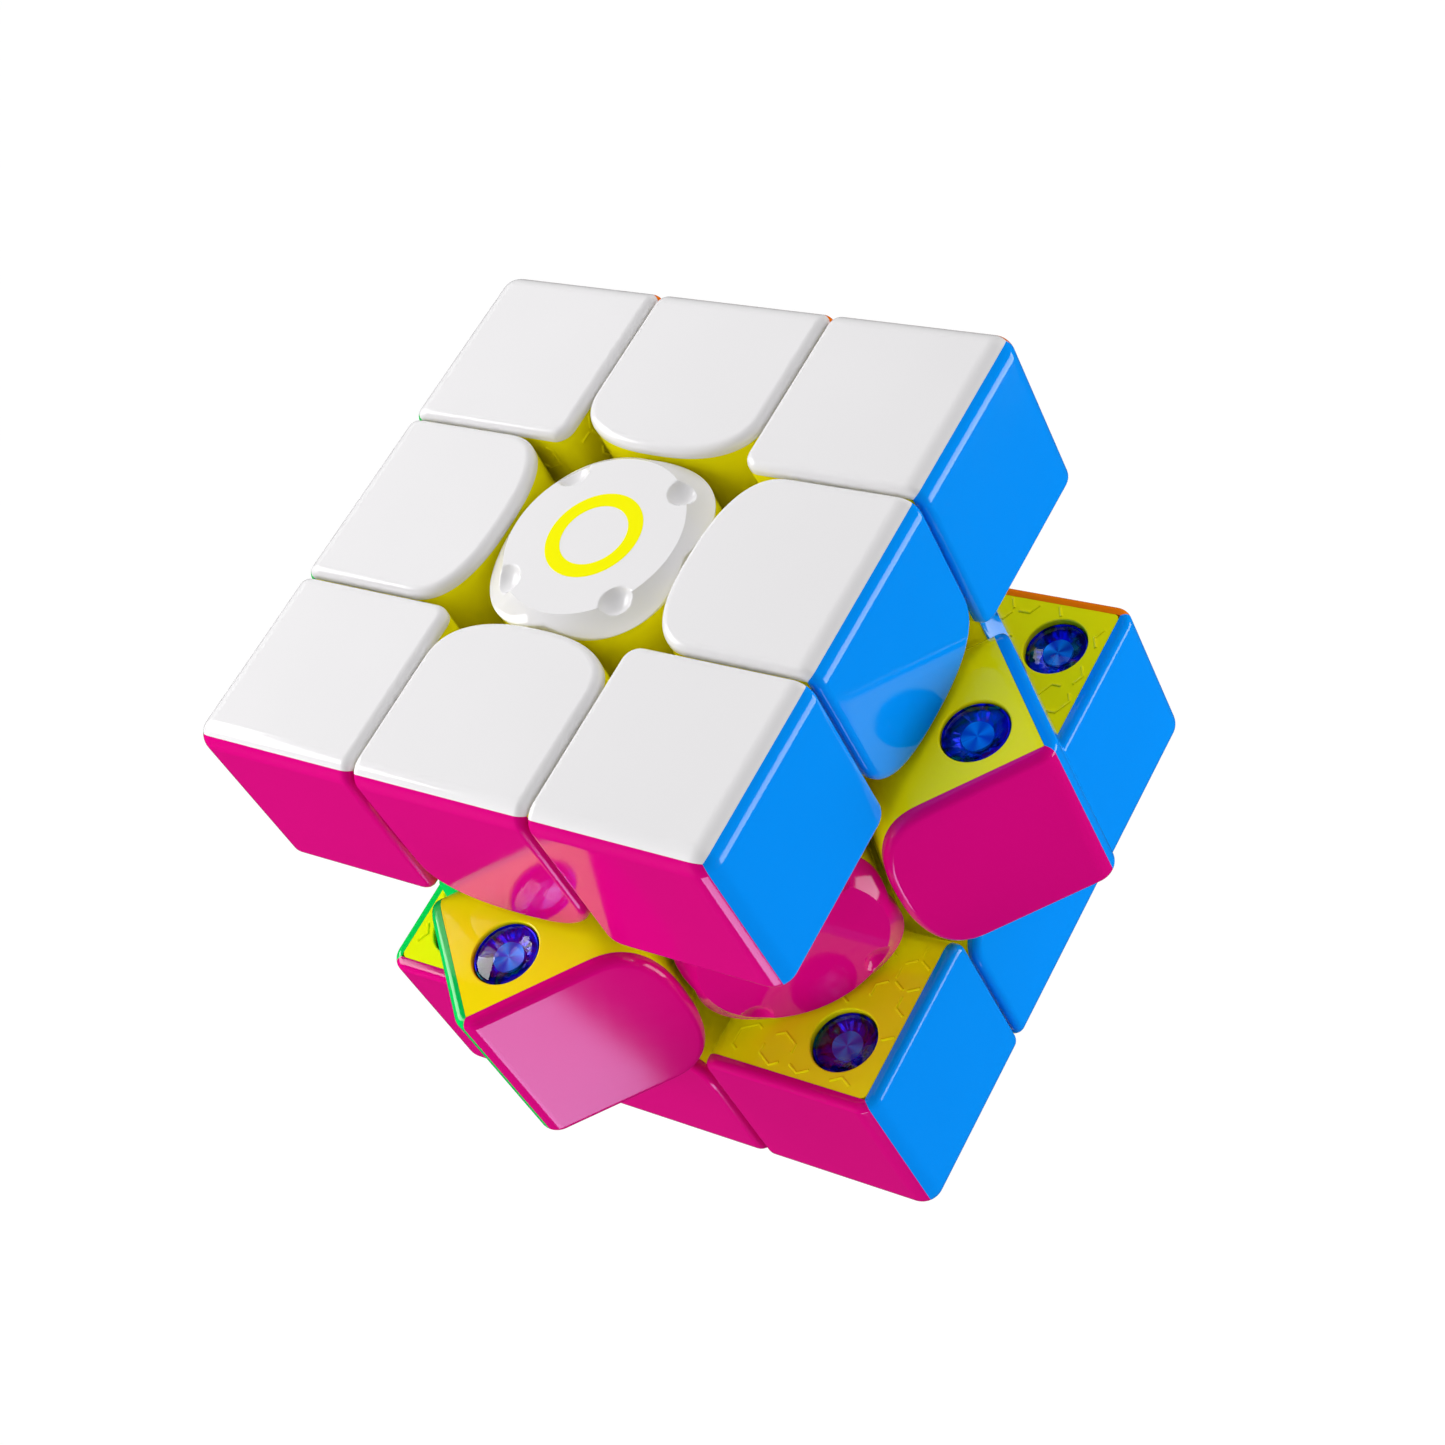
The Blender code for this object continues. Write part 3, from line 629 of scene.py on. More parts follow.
# Edge caps: a glossy cap on each of an edge's two faces, moulded in the colour of its face. The two meet in
# a mitre along the middle of the cube's rounded edge, and each has a small round on its rim.
OUTER_FILLET = 2.0 * MM
OUTER_STEPS = 16
RIM_FILLET = 0.8 * MM
RIM_STEPS = 8
FACE_COLOURS = {
    "top": ("white", (0.81, 0.80, 0.81)),
    "bottom": ("yellow", (0.95, 0.88, 0.003)),
    "front": ("magenta", (0.66, 0.001, 0.20)),
    "right": ("blue", (0.0003, 0.275, 0.93)),
    "back": ("orange", (0.95, 0.20, 0.002)),
    "left": ("green", (0.001, 0.62, 0.10)),
}


def along(first, second):
    """A test for the edges that run along both of two planes, each given as an axis and a value."""
    planes = (first, second)
    return lambda edge: all(abs(vert.co[a] - at) < 10 * WELD for vert in edge.verts for a, at in planes)


def on_rim(*outward):
    """A test for the edges between the faces that look some way along these axes and those that don't."""

    def looks_out(face):
        return any(round(face.normal.dot(axis), 2) > 0 for axis in outward)

    return lambda edge: len({looks_out(face) for face in edge.link_faces}) == 2


def kept_above(mesh, point, normal):
    """The part of a closed mesh on the side that a plane's normal points to, closed with a flat face."""
    shape = bmesh.new()
    shape.from_mesh(mesh)
    parts = shape.verts[:] + shape.edges[:] + shape.faces[:]
    plane = {"plane_co": point, "plane_no": normal, "dist": WELD}
    cut = bmesh.ops.bisect_plane(shape, geom=parts, clear_inner=True, **plane)
    rim = [part for part in cut["geom_cut"] if isinstance(part, bmesh.types.BMEdge)]
    bmesh.ops.edgeloop_fill(shape, edges=rim)
    return mesh_of(shape)


def capped(blank, *neighbours):
    """The +Z cap of a filleted blank: what lies above the body, mitred to the caps on these axes."""
    cap = kept_above(blank, (0, 0, HALF - SHELL_WALL), (0, 0, 1))
    for axis in neighbours:
        cap = kept_above(cap, (0, 0, 0), AXES["top"] - axis)
    return faired(cap)


face_plastics = {}
face_slots = {}
for face, (colour_name, colour) in FACE_COLOURS.items():
    face_plastics[face] = moulded_plastic(colour_name + "_plastic", colour)
    face_slots[face] = "face_" + colour_name

edge_skin = round_edges(edge_blank, along((2, HALF), (1, -HALF)), OUTER_FILLET, OUTER_STEPS)
edge_skin = round_edges(edge_skin, on_rim(AXES["top"], AXES["front"]), RIM_FILLET, RIM_STEPS)
edge_cap = capped(edge_skin, AXES["front"])
swap_faces = Matrix.Rotation(math.pi, 4, Vector((0, -1, 1)))
for node, body, turn, faces in edge_places():
    for face, swap in zip(faces, (UNTURNED, swap_faces)):
        cap = turned_copy(edge_cap, turn @ swap)
        fit(f"{node}_cap_{face}", cap, face_plastics[face], body, face_slots[face], node)


# Corner bodies: eight yellow mouldings, each with a foot that reaches under the edges and a pocket for a
# magnet in each of its three inner faces. The shell clips over it.
CORNER_LIMIT = 9.7 * MM
CORNER_INNER_FILLET = 1.6 * MM
CORNER_BODY_FILLET = 0.6 * MM
INNER_STEPS = 8
THIRD_TURNS = [Matrix.Rotation(math.radians(120 * third), 4, Vector((1, 1, 1))) for third in range(3)]


def corner_block(outside, fillet):
    """A block in the +X +Y +Z octant, rounded where its outer faces meet and where its inner faces meet."""
    mesh = block([CORNER_LIMIT] * 3, [outside] * 3)
    rounds = ((outside, fillet, OUTER_STEPS), (CORNER_LIMIT, CORNER_INNER_FILLET, INNER_STEPS))
    for reach, radius, steps in rounds:
        tests = [along((a, reach), (b, reach)) for a, b in ((0, 1), (1, 2), (0, 2))]
        mesh = round_edges(mesh, lambda edge: any(test(edge) for test in tests), radius, steps)
    return mesh


def corner_places():
    """Each corner's place name, body and turn, and the faces that its own X, Y and Z turn to."""
    for level in ("top", "bottom"):
        for first, second in zip(SIDES, SIDES[1:] + SIDES[:1]):
            faces = (first, second, level) if level == "top" else (second, first, level)
            depth, side = (first, second) if first in ("front", "back") else (second, first)
            turn = Matrix([AXES[face] for face in faces]).transposed().to_4x4()
            yield f"{level}_{depth}_{side}", layer_of(level), turn, faces


corner_core = carve(corner_block(skin, CORNER_BODY_FILLET), "UNION", foot([FOOT_LIMIT] * 3, [HALF] * 3))
corner_spots = []
corner_pockets = []
for axis in range(3):
    spot = Vector([MAGNET_PLACE] * 3)
    spot[axis] = CORNER_LIMIT
    inward = Vector((0, 0, 0))
    inward[axis] = 1
    corner_spots.append(spot)
    place = Matrix.Translation(spot) @ facing(inward)
    corner_pockets.append(rod(POCKET_RADIUS, -POCKET_DEPTH, POCKET_DEPTH, place))
corner_core = cleaned(carve(corner_core, "DIFFERENCE", *corner_pockets))
for axis, spot in enumerate(corner_spots):
    corner_core = round_mouth(corner_core, spot, axis)
corner_mesh = faired(corner_core)
for place, body, turn, faces in corner_places():
    corner = turned_copy(corner_mesh, turn)
    fit(f"corner_{place}_body", corner, inner_yellow, body, "inner_yellow", "corner_" + place)


# Corner panels: the glossy outside of a corner, one panel in the colour of each face. Together they make
# the shell that clips over the body, with a mitre between colours along the middle of every rounded edge.
corner_skin = corner_block(HALF, OUTER_FILLET)
panel_rims = on_rim(AXES["right"], AXES["back"], AXES["top"])
corner_skin = round_edges(corner_skin, panel_rims, RIM_FILLET, RIM_STEPS)
corner_panel = capped(corner_skin, AXES["right"], AXES["back"])
for place, body, turn, faces in corner_places():
    for face, third in zip((faces[2], faces[0], faces[1]), THIRD_TURNS):
        panel = turned_copy(corner_panel, turn @ third)
        name = f"corner_{place}_panel_{face}"
        fit(name, panel, face_plastics[face], body, face_slots[face], "corner_shell_" + place)


# Ribs: thin raised lines in a broken honeycomb on the three inner faces of every corner. They are moulded
# with the yellow body and leave air and oil between the layers as they slide.
RIB_CELL_EDGE = 1.7 * MM
RIB_RADIUS = 0.16 * MM
RIB_PROUD = 0.12 * MM
RIB_KEPT = 0.62
RIB_SEED = 7
RIB_ENDS = (0.15, 0.85)
RIB_FIELD_END = 26.2 * MM
RIB_HUB = 17.4 * MM
RIB_JEWEL_CLEAR = 3.9 * MM
RIB_ROWS = 24

rib_sizes = {
    "Cell Edge": RIB_CELL_EDGE,
    "Rib Radius": RIB_RADIUS,
    "Rib Depth": CORNER_LIMIT + RIB_RADIUS - RIB_PROUD,
    "Kept Share": RIB_KEPT,
    "Field Start": CORNER_LIMIT + CORNER_INNER_FILLET,
    "Field End": RIB_FIELD_END,
    "Hub Radius": RIB_HUB,
    "Jewel Place": MAGNET_PLACE,
    "Jewel Clearance": RIB_JEWEL_CLEAR,
    "Seed": RIB_SEED,
    "Finish": inner_yellow,
}


def maths(tree, operation, *values):
    """The outcome of one sum on values or other nodes' outputs."""
    return add(tree, "ShaderNodeMath", dict(enumerate(values)), operation=operation).outputs[0]


def span(tree, x, y):
    """The length of the longest side of a right triangle."""
    squares = (maths(tree, "MULTIPLY", side, side) for side in (x, y))
    return maths(tree, "SQRT", maths(tree, "ADD", *squares))


rib_tree, given = new_tree("honeycomb_ribs", rib_sizes)
cell_width = maths(rib_tree, "MULTIPLY", given["Cell Edge"], math.sqrt(3))
row_height = maths(rib_tree, "MULTIPLY", given["Cell Edge"], 1.5)
field_grid = {
    "Size X": maths(rib_tree, "MULTIPLY", cell_width, RIB_ROWS - 1),
    "Size Y": maths(rib_tree, "MULTIPLY", row_height, RIB_ROWS - 1),
    "Vertices X": RIB_ROWS,
    "Vertices Y": RIB_ROWS,
}
lattice = add(rib_tree, "GeometryNodeMeshGrid", field_grid)
spot = add(rib_tree, "ShaderNodeSeparateXYZ", {0: add(rib_tree, "GeometryNodeInputPosition").outputs[0]})
slant = maths(rib_tree, "MULTIPLY_ADD", spot.outputs[1], 1 / math.sqrt(3), spot.outputs[0])
field_middle = maths(rib_tree, "MULTIPLY", given["Field End"], 0.6)
sheared = {
    "X": maths(rib_tree, "ADD", slant, field_middle),
    "Y": maths(rib_tree, "ADD", spot.outputs[1], field_middle),
    "Z": given["Rib Depth"],
}
sheared = add(rib_tree, "ShaderNodeCombineXYZ", sheared)
moved = {"Geometry": lattice.outputs[0], "Position": sheared.outputs[0]}
triangles = add(rib_tree, "GeometryNodeSetPosition", moved)
triangles = add(
    rib_tree, "GeometryNodeTriangulate", {0: triangles.outputs[0]}, quad_method="SHORTEST_DIAGONAL"
)
cells = add(rib_tree, "GeometryNodeDualMesh", {0: triangles.outputs[0]})
low_side = maths(rib_tree, "MINIMUM", spot.outputs[0], spot.outputs[1])
high_side = maths(rib_tree, "MAXIMUM", spot.outputs[0], spot.outputs[1])
from_axis = span(rib_tree, spot.outputs[0], spot.outputs[1])
jewel_x = maths(rib_tree, "SUBTRACT", spot.outputs[0], given["Jewel Place"])
jewel_y = maths(rib_tree, "SUBTRACT", spot.outputs[1], given["Jewel Place"])
from_jewel = span(rib_tree, jewel_x, jewel_y)
chance = {"Probability": given["Kept Share"], "Seed": given["Seed"]}
kept = add(rib_tree, "FunctionNodeRandomValue", chance, data_type="BOOLEAN").outputs["Value"]
for limit in (
    maths(rib_tree, "GREATER_THAN", low_side, given["Field Start"]),
    maths(rib_tree, "LESS_THAN", high_side, given["Field End"]),
    maths(rib_tree, "GREATER_THAN", from_axis, given["Hub Radius"]),
    maths(rib_tree, "GREATER_THAN", from_jewel, given["Jewel Clearance"]),
):
    kept = maths(rib_tree, "MULTIPLY", kept, limit)
lines = add(rib_tree, "GeometryNodeMeshToCurve", {"Mesh": cells.outputs[0], "Selection": kept})
trimmed = {0: lines.outputs[0], "Start": RIB_ENDS[0], "End": RIB_ENDS[1]}
short = add(rib_tree, "GeometryNodeTrimCurve", trimmed)
set_out(rib_tree, given, wire_along(rib_tree, short.outputs[0], given["Rib Radius"], 8))
for layer in ("top_layer", "bottom_layer"):
    faces = [turn @ third for _, body, turn, _ in corner_places() if body == layer for third in THIRD_TURNS]
    ribs = grow(rib_tree, stations(faces), rib_sizes)
    fit("corner_ribs_" + layer, faired(ribs), inner_yellow, layer, "inner_yellow")


# Magnets: a jewel over a round magnet in every pocket, forty-eight in all. Each is a setting of blue
# mirrored metal with a cut wall and a plain bezel, a brushed blue disc at its foot, and a clear domed lens
# pressed in over them.
JEWEL_MOUTH = 2.82 * MM
JEWEL_MIDDLE = 2.25 * MM
JEWEL_FOOT = 1.40 * MM
JEWEL_OUTSIDE = 3.06 * MM
JEWEL_FLOOR = 0.75 * MM
JEWEL_BASE = 1.85 * MM
JEWEL_CUTS = 18
CUT_LIFT = 0.10 * MM
BEZEL_RADIUS = 2.94 * MM
BEZEL_WIRE = 0.13 * MM
DISC_RADIUS = 1.34 * MM
DISC_THICKNESS = 0.12 * MM
DISC_PLEAT = 0.03
DISC_PLEATS = 4
LENS_RADIUS = 2.80 * MM
LENS_WALL = 0.40 * MM
LENS_CROWN = 0.50 * MM
CORNER_JEWEL_SINK = 0.60 * MM
EDGE_JEWEL_SINK = 0.35 * MM


def jewel_places(layer):
    """Where each jewel of a layer lies and looks: +Z is out of its pocket."""
    for _, body, turn, _ in edge_places():
        if body == layer:
            for end, spot in zip((-1, 1), edge_spots):
                out = facing(end * AXES["right"])
                yield turn @ Matrix.Translation(spot) @ out @ Matrix.Translation((0, 0, -EDGE_JEWEL_SINK))
    flip = Matrix.Rotation(math.pi, 4, "X") @ Matrix.Translation((0, 0, -CORNER_JEWEL_SINK))
    for _, body, turn, _ in corner_places():
        if body == layer:
            for third in THIRD_TURNS:
                yield turn @ third @ Matrix.Translation(corner_spots[2]) @ flip


def setting():
    """The cut bowl of a setting. Every other point of its middle ring is lifted, which makes the cuts."""
    profile = [
        (0, -JEWEL_FLOOR),
        (JEWEL_FOOT, -JEWEL_FLOOR),
        (JEWEL_MIDDLE, -JEWEL_FLOOR / 2),
        (JEWEL_MOUTH, 0),
        (JEWEL_OUTSIDE, 0),
        (JEWEL_OUTSIDE, -JEWEL_BASE),
        (0, -JEWEL_BASE),
    ]
    mesh = turned(profile, 2 * JEWEL_CUTS)
    for vert in mesh.vertices:
        step = round(math.atan2(vert.co.y, vert.co.x) * JEWEL_CUTS / math.pi)
        if abs(vert.co.xy.length - JEWEL_MIDDLE) < WELD and step % 2:
            vert.co.z += CUT_LIFT
    return mesh


def mirrored_blue(name):
    """Vapour-coated metal that runs from near black through deep blue and violet to a little sea green."""
    material, tree, shader = new_material(name)
    shader.inputs["Metallic"].default_value = 0.55
    shader.inputs["Specular IOR Level"].default_value = 0.1
    place = add(tree, "ShaderNodeTexCoord").outputs["Object"]
    swirl = {"Vector": place, "Scale": 420.0, "Detail": 2.0, "Distortion": 1.5}
    cloud = add(tree, "ShaderNodeTexNoise", swirl)
    bands = add(tree, "ShaderNodeValToRGB", {0: cloud.outputs[0]})
    stops = bands.color_ramp.elements
    stops[0].position = 0.32
    stops[0].color = (0.0, 0.14, 0.16, 1)
    stops[1].position = 0.70
    stops[1].color = (0.07, 0.002, 0.40, 1)
    blues = ((0.40, (0.0, 0.001, 0.02)), (0.48, (0.0, 0.003, 0.35)), (0.60, (0.0, 0.008, 0.90)))
    for position, colour in blues:
        stops.new(position).color = (*colour, 1)
    tree.links.new(bands.outputs[0], shader.inputs["Base Color"])
    fine = add(tree, "ShaderNodeTexNoise", {"Vector": place, "Scale": 3000.0, "Detail": 2.0})
    gloss = {"Value": fine.outputs[0], "To Min": 0.04, "To Max": 0.12}
    tree.links.new(add(tree, "ShaderNodeMapRange", gloss).outputs[0], shader.inputs["Roughness"])
    return material


def brushed_blue_painted_sheen(name):
    """A blue metal disc brushed round its centre, with a painted sheen of bright and dark quarters."""
    material, tree, shader = new_material(name)
    shader.inputs["Metallic"].default_value = 0.35
    shader.inputs["Specular IOR Level"].default_value = 0.1
    shader.inputs["Anisotropic"].default_value = 0.7
    polar = add(tree, "ShaderNodeSeparateXYZ", {0: add(tree, "ShaderNodeUVMap", uv_map="polar").outputs[0]})
    # Painted sheen: the colour runs from dark to bright blue in quarters round the disc, by angle alone.
    angle = maths(tree, "MULTIPLY", polar.outputs[0], 2 * math.pi * DISC_PLEATS)
    wave = maths(tree, "MULTIPLY_ADD", maths(tree, "COSINE", angle), 0.5, 0.5)
    painted_sheen_tones = {0: wave, 6: (0.0, 0.06, 0.68, 1), 7: (0.0, 0.27, 1.0, 1)}
    tone = add(tree, "ShaderNodeMix", painted_sheen_tones, data_type="RGBA")
    tree.links.new(tone.outputs[2], shader.inputs["Base Color"])
    ring = add(tree, "ShaderNodeCombineXYZ", {"X": polar.outputs[1]})
    lines = add(tree, "ShaderNodeTexNoise", {"Vector": ring.outputs[0], "Scale": 60.0, "Detail": 2.0})
    gloss = {"Value": lines.outputs[0], "To Min": 0.22, "To Max": 0.40}
    tree.links.new(add(tree, "ShaderNodeMapRange", gloss).outputs[0], shader.inputs["Roughness"])
    grain = add(tree, "ShaderNodeTangent", direction_type="UV_MAP", uv_map="polar")
    tree.links.new(grain.outputs[0], shader.inputs["Tangent"])
    return material


def clear_lens(name):
    """Clear polished acrylic with a breath of blue and the faintest unevenness."""
    material, tree, shader = new_material(name)
    shader.inputs["Transmission Weight"].default_value = 1.0
    shader.inputs["IOR"].default_value = 1.49
    shader.inputs["Base Color"].default_value = (0.93, 0.96, 1.0, 1)
    place = add(tree, "ShaderNodeTexCoord").outputs["Object"]
    haze = add(tree, "ShaderNodeTexNoise", {"Vector": place, "Scale": 1200.0})
    gloss = {"Value": haze.outputs[0], "To Min": 0.0, "To Max": 0.03}
    tree.links.new(add(tree, "ShaderNodeMapRange", gloss).outputs[0], shader.inputs["Roughness"])
    return material


setting_blank = on_bench("setting_blank", setting())
setting_sizes = {
    "Cut Bowl": setting_blank,
    "Bezel Radius": BEZEL_RADIUS,
    "Bezel Wire": BEZEL_WIRE,
    "Finish": mirrored_blue("mirrored_blue_metal"),
}
setting_tree, given = new_tree("jewel_settings", setting_sizes)
cut_bowl = add(setting_tree, "GeometryNodeObjectInfo", {"Object": given["Cut Bowl"]})
bezel_line = {"Resolution": 64, "Radius": given["Bezel Radius"]}
bezel_path = add(setting_tree, "GeometryNodeCurvePrimitiveCircle", bezel_line)
bezel = wire_along(setting_tree, bezel_path.outputs[0], given["Bezel Wire"], 10)
bezel = add(setting_tree, "GeometryNodeSetShadeSmooth", {0: bezel})
bowl_and_bezel = add(setting_tree, "GeometryNodeJoinGeometry", {0: bezel.outputs[0]})
setting_tree.links.new(cut_bowl.outputs["Geometry"], bowl_and_bezel.inputs[0])
set_out(setting_tree, given, bowl_and_bezel.outputs[0])


def round_plate(tree, given, sizes, sides, rings):
    """A thin round plate from the tree's inputs, with where its points are and whether they are on top."""
    radius, thickness, low = (given[size] for size in sizes)
    drum = {"Vertices": sides, "Fill Segments": rings, "Radius": radius, "Depth": thickness}
    plate = add(tree, "GeometryNodeMeshCylinder", drum)
    rise = maths(tree, "MULTIPLY_ADD", thickness, 0.5, low)
    lift = add(tree, "ShaderNodeCombineXYZ", {"Z": rise})
    raised = {"Geometry": plate.outputs[0], "Translation": lift.outputs[0]}
    spot = add(tree, "ShaderNodeSeparateXYZ", {0: add(tree, "GeometryNodeInputPosition").outputs[0]})
    on_top = maths(tree, "GREATER_THAN", spot.outputs[2], rise)
    return add(tree, "GeometryNodeTransform", raised).outputs[0], spot.outputs, on_top


disc_sizes = {
    "Disc Radius": DISC_RADIUS,
    "Disc Thickness": DISC_THICKNESS,
    "Disc Height": -JEWEL_FLOOR,
    "Pleat Slope": DISC_PLEAT,
    "Finish": brushed_blue_painted_sheen("blue_brushed_metal_painted_sheen"),
}
disc_tree, given = new_tree("jewel_discs", disc_sizes)
disc, spot, on_top = round_plate(disc_tree, given, ("Disc Radius", "Disc Thickness", "Disc Height"), 64, 8)
from_middle = span(disc_tree, spot[0], spot[1])
angle = maths(disc_tree, "ARCTAN2", spot[1], spot[0])
pleat = maths(disc_tree, "COSINE", maths(disc_tree, "MULTIPLY", angle, DISC_PLEATS))
pleat = maths(disc_tree, "MULTIPLY", maths(disc_tree, "MULTIPLY", pleat, given["Pleat Slope"]), from_middle)
swell = add(disc_tree, "ShaderNodeCombineXYZ", {"Z": maths(disc_tree, "MULTIPLY", pleat, on_top)})
disc = add(disc_tree, "GeometryNodeSetPosition", {"Geometry": disc, "Offset": swell.outputs[0]})
share = maths(disc_tree, "DIVIDE", angle, 2 * math.pi)
polar = {"X": share, "Y": maths(disc_tree, "DIVIDE", from_middle, given["Disc Radius"])}
polar = add(disc_tree, "ShaderNodeCombineXYZ", polar)
stored = {"Geometry": disc.outputs[0], "Name": "polar", "Value": polar.outputs[0]}
disc = add(disc_tree, "GeometryNodeStoreNamedAttribute", stored, data_type="FLOAT2", domain="CORNER")
set_out(disc_tree, given, disc.outputs[0])

lens_sizes = {
    "Lens Radius": LENS_RADIUS,
    "Lens Wall": LENS_WALL,
    "Lens Height": BEZEL_WIRE / 2 - LENS_WALL,
    "Crown": LENS_CROWN,
    "Finish": clear_lens("clear_lens"),
}
lens_tree, given = new_tree("jewel_lenses", lens_sizes)
lens, spot, on_top = round_plate(lens_tree, given, ("Lens Radius", "Lens Wall", "Lens Height"), 64, 12)
from_middle = maths(lens_tree, "DIVIDE", span(lens_tree, spot[0], spot[1]), given["Lens Radius"])
dome = maths(lens_tree, "SUBTRACT", 1.0, maths(lens_tree, "POWER", from_middle, 2.0))
dome = maths(lens_tree, "MULTIPLY", maths(lens_tree, "MULTIPLY", dome, given["Crown"]), on_top)
swell = add(lens_tree, "ShaderNodeCombineXYZ", {"Z": dome})
lens = add(lens_tree, "GeometryNodeSetPosition", {"Geometry": lens, "Offset": swell.outputs[0]})
set_out(lens_tree, given, lens.outputs[0])

for layer in ("top_layer", "middle_layer", "bottom_layer"):
    pockets = list(jewel_places(layer))
    settings = grow(setting_tree, stations(pockets), setting_sizes)
    discs = grow(disc_tree, stations(pockets), disc_sizes)
    lenses = faired(grow(lens_tree, stations(pockets), lens_sizes))
    for name, mesh, sizes in (
        ("magnet_settings_", settings, setting_sizes),
        ("magnet_discs_", discs, disc_sizes),
        ("magnet_lenses_", lenses, lens_sizes),
    ):
        jewels = fit(name + layer, mesh, sizes["Finish"], layer, None)
        # The lenses cast no shadow, so that the lamps light the discs through them.
        jewels.visible_shadow = mesh is not lenses
bpy.data.objects.remove(setting_blank)


# Centre caps: a glossy cap on each centre, in the colour of its face, with a plug that presses into the
# cup. Its flat middle slopes off to four lobes, and a round dimple on each lobe guides a finger.
CAP_LOW = 26.15 * MM
CAP_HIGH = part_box("centre_cap_top")[1].z
CAP_FLAT = 8.55 * MM
CAP_SLOPE = math.radians(48)
CAP_FLARE = 0.148 / MM
CAP_RIM = 0.22 * MM
CAP_RIM_STEPS = 6
CAP_ANGLES = 384
CAP_COARSE_RINGS = (2.5 * MM, 4.5 * MM, 5.8 * MM)
CAP_FINE_START = 6.7 * MM
CAP_FINE_RINGS = 24
CAP_SLOPE_RINGS = 18
DIMPLE_PLACE = 8.60 * MM
DIMPLE_BALL = 1.75 * MM
DIMPLE_DEPTH = 1.00 * MM
DIMPLE_EDGE = 0.08 * MM
PLUG_RADIUS = 3.7 * MM
PLUG_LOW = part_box("centre_cap_top")[0].z
PLUG_BORE = 2.7 * MM
PLUG_BORE_END = 26.1 * MM


def steps_between(start, end, count):
    """Evenly spaced values after a start, up to and with an end."""
    return [start + (end - start) * step / count for step in range(1, count + 1)]


def cap_blank():
    """A round cap before it is lobed, with close rings where the slope and the dimples come."""
    rim_start = FLANK_RADIUS - CAP_RIM
    rings = [0, *CAP_COARSE_RINGS, CAP_FINE_START, *steps_between(CAP_FINE_START, CAP_FLAT, CAP_FINE_RINGS)]
    rings += steps_between(CAP_FLAT, rim_start, CAP_SLOPE_RINGS)
    profile = [(ring, CAP_HIGH) for ring in rings]
    for angle in steps_between(math.pi / 2, 0, CAP_RIM_STEPS):
        out = CAP_RIM * math.cos(angle)
        up = CAP_RIM * math.sin(angle)
        profile.append((rim_start + out, CAP_HIGH - CAP_RIM + up))
    profile += [(FLANK_RADIUS, CAP_LOW), (PLUG_RADIUS, CAP_LOW), (PLUG_RADIUS, PLUG_LOW)]
    profile += [(PLUG_BORE, PLUG_LOW), (PLUG_BORE, PLUG_BORE_END), (0, PLUG_BORE_END)]
    return turned(profile, CAP_ANGLES)


cap_sizes = {
    "Flank Radius": FLANK_RADIUS,
    "Lobe Radius": LOBE_RADIUS,
    "Flat Radius": CAP_FLAT,
    "Rim Start": FLANK_RADIUS - CAP_RIM,
    "Lobe Breadth": LOBE_BREADTH,
    "Slope": math.tan(CAP_SLOPE),
    "Flare": CAP_FLARE,
    "Cap Low": CAP_LOW,
    "Cap High": CAP_HIGH,
    "Dimple Place": DIMPLE_PLACE,
    "Dimple Ball": DIMPLE_BALL,
    "Dimple Depth": DIMPLE_DEPTH,
    "Dimple Edge": DIMPLE_EDGE,
    "Finish": face_plastics["top"],
}
cap_tree, given = new_tree("lobed_cap", cap_sizes)
position = add(cap_tree, "GeometryNodeInputPosition")
spot = add(cap_tree, "ShaderNodeSeparateXYZ", {0: position.outputs[0]}).outputs
radius = span(cap_tree, spot[0], spot[1])
angle = maths(cap_tree, "ARCTAN2", spot[1], spot[0])
wave = maths(cap_tree, "COSINE", maths(cap_tree, "MULTIPLY", angle, LOBES))
wave = maths(cap_tree, "POWER", maths(cap_tree, "MULTIPLY_ADD", wave, -0.5, 0.5), given["Lobe Breadth"])
band = {"Value": radius, "From Min": given["Flat Radius"], "From Max": given["Rim Start"]}
stretch = maths(cap_tree, "MULTIPLY", add(cap_tree, "ShaderNodeMapRange", band).outputs[0], wave)
swing = maths(cap_tree, "SUBTRACT", given["Lobe Radius"], given["Flank Radius"])
reach = maths(cap_tree, "MULTIPLY_ADD", stretch, swing, radius)
outward = maths(cap_tree, "DIVIDE", reach, maths(cap_tree, "MAXIMUM", radius, WELD))
wall = {"Value": spot[2], "From Min": given["Cap Low"], "From Max": given["Cap High"]}
up_wall = add(cap_tree, "ShaderNodeMapRange", wall).outputs[0]
past_flat = maths(cap_tree, "MAXIMUM", maths(cap_tree, "SUBTRACT", reach, given["Flat Radius"]), 0.0)
flare = maths(cap_tree, "MULTIPLY", past_flat, given["Flare"])
steepness = maths(cap_tree, "SUBTRACT", given["Slope"], flare)
drop = maths(cap_tree, "MULTIPLY", maths(cap_tree, "MULTIPLY", past_flat, steepness), up_wall)
sloped = maths(cap_tree, "SUBTRACT", spot[2], drop)
off_lobe = maths(cap_tree, "FLOORED_MODULO", angle, 2 * math.pi / LOBES)
off_lobe = maths(cap_tree, "SUBTRACT", off_lobe, math.pi / LOBES)
dimple_x = maths(cap_tree, "MULTIPLY", reach, maths(cap_tree, "COSINE", off_lobe))
dimple_x = maths(cap_tree, "SUBTRACT", dimple_x, given["Dimple Place"])
dimple_y = maths(cap_tree, "MULTIPLY", reach, maths(cap_tree, "SINE", off_lobe))
from_dimple = span(cap_tree, dimple_x, dimple_y)
inside_ball = maths(cap_tree, "MULTIPLY", given["Dimple Ball"], given["Dimple Ball"])
inside_ball = maths(cap_tree, "SUBTRACT", inside_ball, maths(cap_tree, "MULTIPLY", from_dimple, from_dimple))
ball_side = maths(cap_tree, "SQRT", maths(cap_tree, "MAXIMUM", inside_ball, 0.0))
